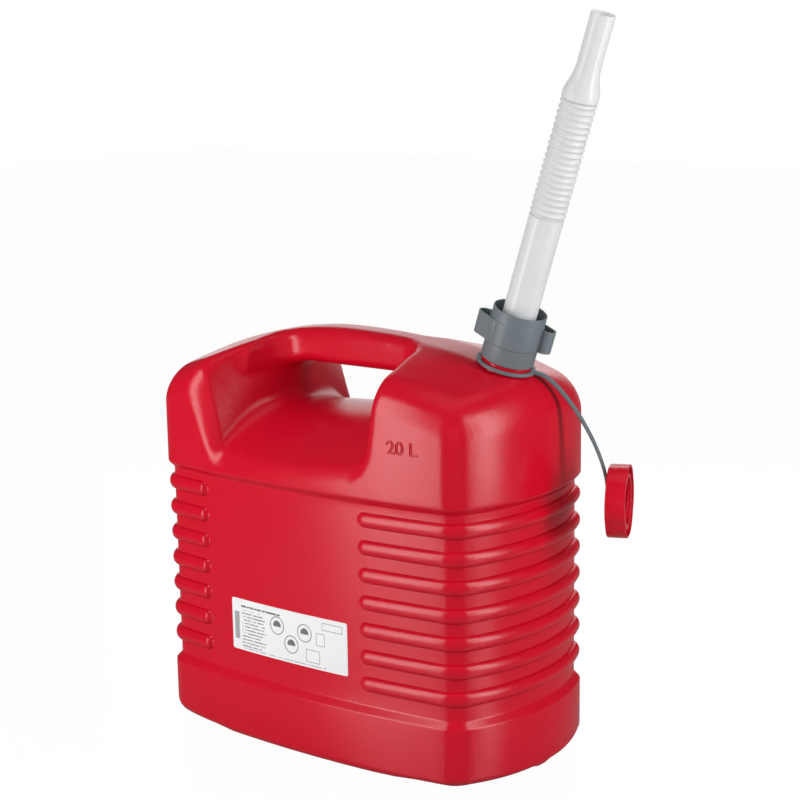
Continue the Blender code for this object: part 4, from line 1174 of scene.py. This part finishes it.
step = COLLAR_STEP + EAR_HEIGHT
cup_inner = COLLAR_CUP_RADIUS - COLLAR_CUP_WALL
body = turned(
    rounded([
        (COLLAR_SKIRT_RADIUS, COLLAR_BOTTOM, EDGE_ROUND),
        (COLLAR_SKIRT_RADIUS, COLLAR_STEP - 0.0006, 0.0002),
        (COLLAR_CUP_RADIUS, COLLAR_STEP, 0.0003),
        (COLLAR_CUP_RADIUS, step, 0.0003),
        (COLLAR_CUP_RADIUS - COLLAR_CUP_STEP, step + 0.0002, 0.0002),
        (COLLAR_CUP_RADIUS - COLLAR_CUP_STEP, COLLAR_TOP, EDGE_ROUND),
        (cup_inner, COLLAR_TOP, EDGE_ROUND),
        (cup_inner, WEB_LEVEL + COLLAR_WEB, 0.0008),
        (TUBE_RADIUS + SEAT_GAP, WEB_LEVEL + COLLAR_WEB, 0.0003),
        (TUBE_RADIUS + SEAT_GAP, WEB_LEVEL, 0.0002),
        (CAP_BORE_RADIUS, WEB_LEVEL, 0.0003),
        (CAP_BORE_RADIUS, COLLAR_BOTTOM, 0.0004),
    ]),
    NECK_PLACE, 128,
)
headings = (EAR_HEADING - math.pi / 2, EAR_HEADING + math.pi / 2)
ears = [ear(NECK_PLACE @ Matrix.Rotation(heading, 4, "Z")) for heading in headings]
ridge = screw_thread(
    CAP_BORE_RADIUS + THREAD_SINK, NECK_RADIUS + THREAD_GAP,
    THREAD_START - THREAD_PITCH / 2, COLLAR_THREAD_RUN, NECK_PLACE,
)
collar = piece("screw_collar", GREY, body, ridge, *ears)
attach(collar, "collar")
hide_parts("spout_collar")

# The studio: a pale floor that keeps the can's shadow, a white surround, and soft boxes. Tall
# ones stand at the front and at the neck end, wide ones overhead and behind, and one that
# doesn't mirror fills in the neck end's front.
FLOOR_REACH = 6
FLOOR_WHITE = 1.04

floor_paint = bpy.data.materials.new("studio floor")
floor_paint.use_nodes = True
nodes = Nodes(floor_paint.node_tree)
paint = floor_paint.node_tree.nodes["Principled BSDF"]
for socket, value in (("Base Color", (0.4, 0.4, 0.4, 1)), ("Roughness", 0.15), ("IOR", 2.2)):
    paint.inputs[socket].default_value = value
rays = nodes.add("ShaderNodeLightPath")
seen = rays.out("Is Camera Ray") * 0.94 + rays.out("Is Transmission Ray") * 0.94
seen = seen + rays.out("Is Glossy Ray") * 0.04
white = nodes.add("ShaderNodeEmission", {"Color": (1, 1, 1, 1), "Strength": FLOOR_WHITE})
mix = nodes.add("ShaderNodeMixShader", {0: seen, 1: Socket(nodes, paint.outputs[0]), 2: white})
surface = floor_paint.node_tree.nodes["Material Output"].inputs["Surface"]
floor_paint.node_tree.links.new(mix.output, surface)
mesh = bpy.data.meshes.new("floor")
corners = [(FLOOR_REACH * x, FLOOR_REACH * y, 0) for x, y in ((-1, -1), (1, -1), (1, 1), (-1, 1))]
mesh.from_pydata(corners, [], [(0, 1, 2, 3)])
mesh.materials.append(floor_paint)
floor = bpy.data.objects.new("floor", mesh)
bpy.context.scene.collection.objects.link(floor)

world = bpy.data.worlds.new("studio")
bpy.context.scene.world = world
world.use_nodes = True
nodes = Nodes(world.node_tree)
air = world.node_tree.nodes["Background"]
air.inputs["Color"].default_value = (1, 1, 1, 1)
rays = nodes.add("ShaderNodeLightPath")
seen = rays.out("Is Camera Ray") + rays.out("Is Transmission Ray")
unseen = rays.out("Is Glossy Ray") * 0.03 + rays.out("Is Diffuse Ray") * 0.29
strength = seen * 0.97 + unseen + 0.03
world.node_tree.links.new(strength.output, air.inputs["Strength"])


def soft_box(name, place, heading, width, height, power):
    """An upright soft box that stands on its place and looks back along its heading."""
    lamp = bpy.data.lights.new(name, "AREA")
    lamp.shape = "RECTANGLE"
    lamp.size = width
    lamp.size_y = height
    lamp.energy = power
    item = bpy.data.objects.new(name, lamp)
    item.location = (place[0], place[1], place[2] + height / 2)
    item.rotation_euler = (math.pi / 2, 0, math.radians(heading))
    item.visible_camera = False
    bpy.context.scene.collection.objects.link(item)
    return item


soft_box("front soft box", (-0.275, -0.86, 0.005), -18, 0.3, 1.1, 7)
soft_box("end soft box", (0.99, 0.11, 0.06), 96, 0.22, 1.1, 6.6)
soft_box("back soft box", (-0.8, 1.2, 0.1), 215, 1.2, 1.2, 5)
overhead = soft_box("overhead soft box", (0.25, -0.1, 1.2), 0, 0.9, 1, 1.2)
overhead.rotation_euler = (0, 0, 0)
fill = soft_box("fill soft box", (1.2, -1.45, 0), 40, 1.4, 1.4, 6.5)
fill.visible_glossy = False

# The camera stands where the photograph was taken from: at the neck end's front corner, a
# little above the can.
AZIMUTH = math.radians(39.638)
ELEVATION = math.radians(13.063)
ROLL = math.radians(-1.118)
FITTED_SCALE = 109 / 90
FITTED_AIM = 0.2
FITTED_DISTANCE = 1.493325
FOCAL_SHARE = 1971.442 / 800
SENSOR = 36
level_back = Vector((math.sin(AZIMUTH), -math.cos(AZIMUTH), 0))
back = level_back * math.cos(ELEVATION) + Vector((0, 0, math.sin(ELEVATION)))
right = Vector((math.cos(AZIMUTH), math.sin(AZIMUTH), 0))
up = back.cross(right)
rolled_right = right * math.cos(ROLL) + up * math.sin(ROLL)
rolled_up = up * math.cos(ROLL) - right * math.sin(ROLL)
lens = bpy.data.cameras.new("camera")
lens.sensor_width = SENSOR
lens.lens = FOCAL_SHARE * SENSOR
lens.shift_x = 0.03699
lens.shift_y = 0.08949
lens.dof.use_dof = False
camera = bpy.data.objects.new("camera", lens)
turn = Matrix((rolled_right, rolled_up, back)).transposed().to_4x4()
stand = (Vector((0, 0, FITTED_AIM)) + back * FITTED_DISTANCE) * FITTED_SCALE
camera.matrix_world = Matrix.Translation(stand) @ turn
bpy.context.scene.collection.objects.link(camera)
bpy.context.scene.camera = camera
bpy.context.scene.view_settings.view_transform = "Standard"
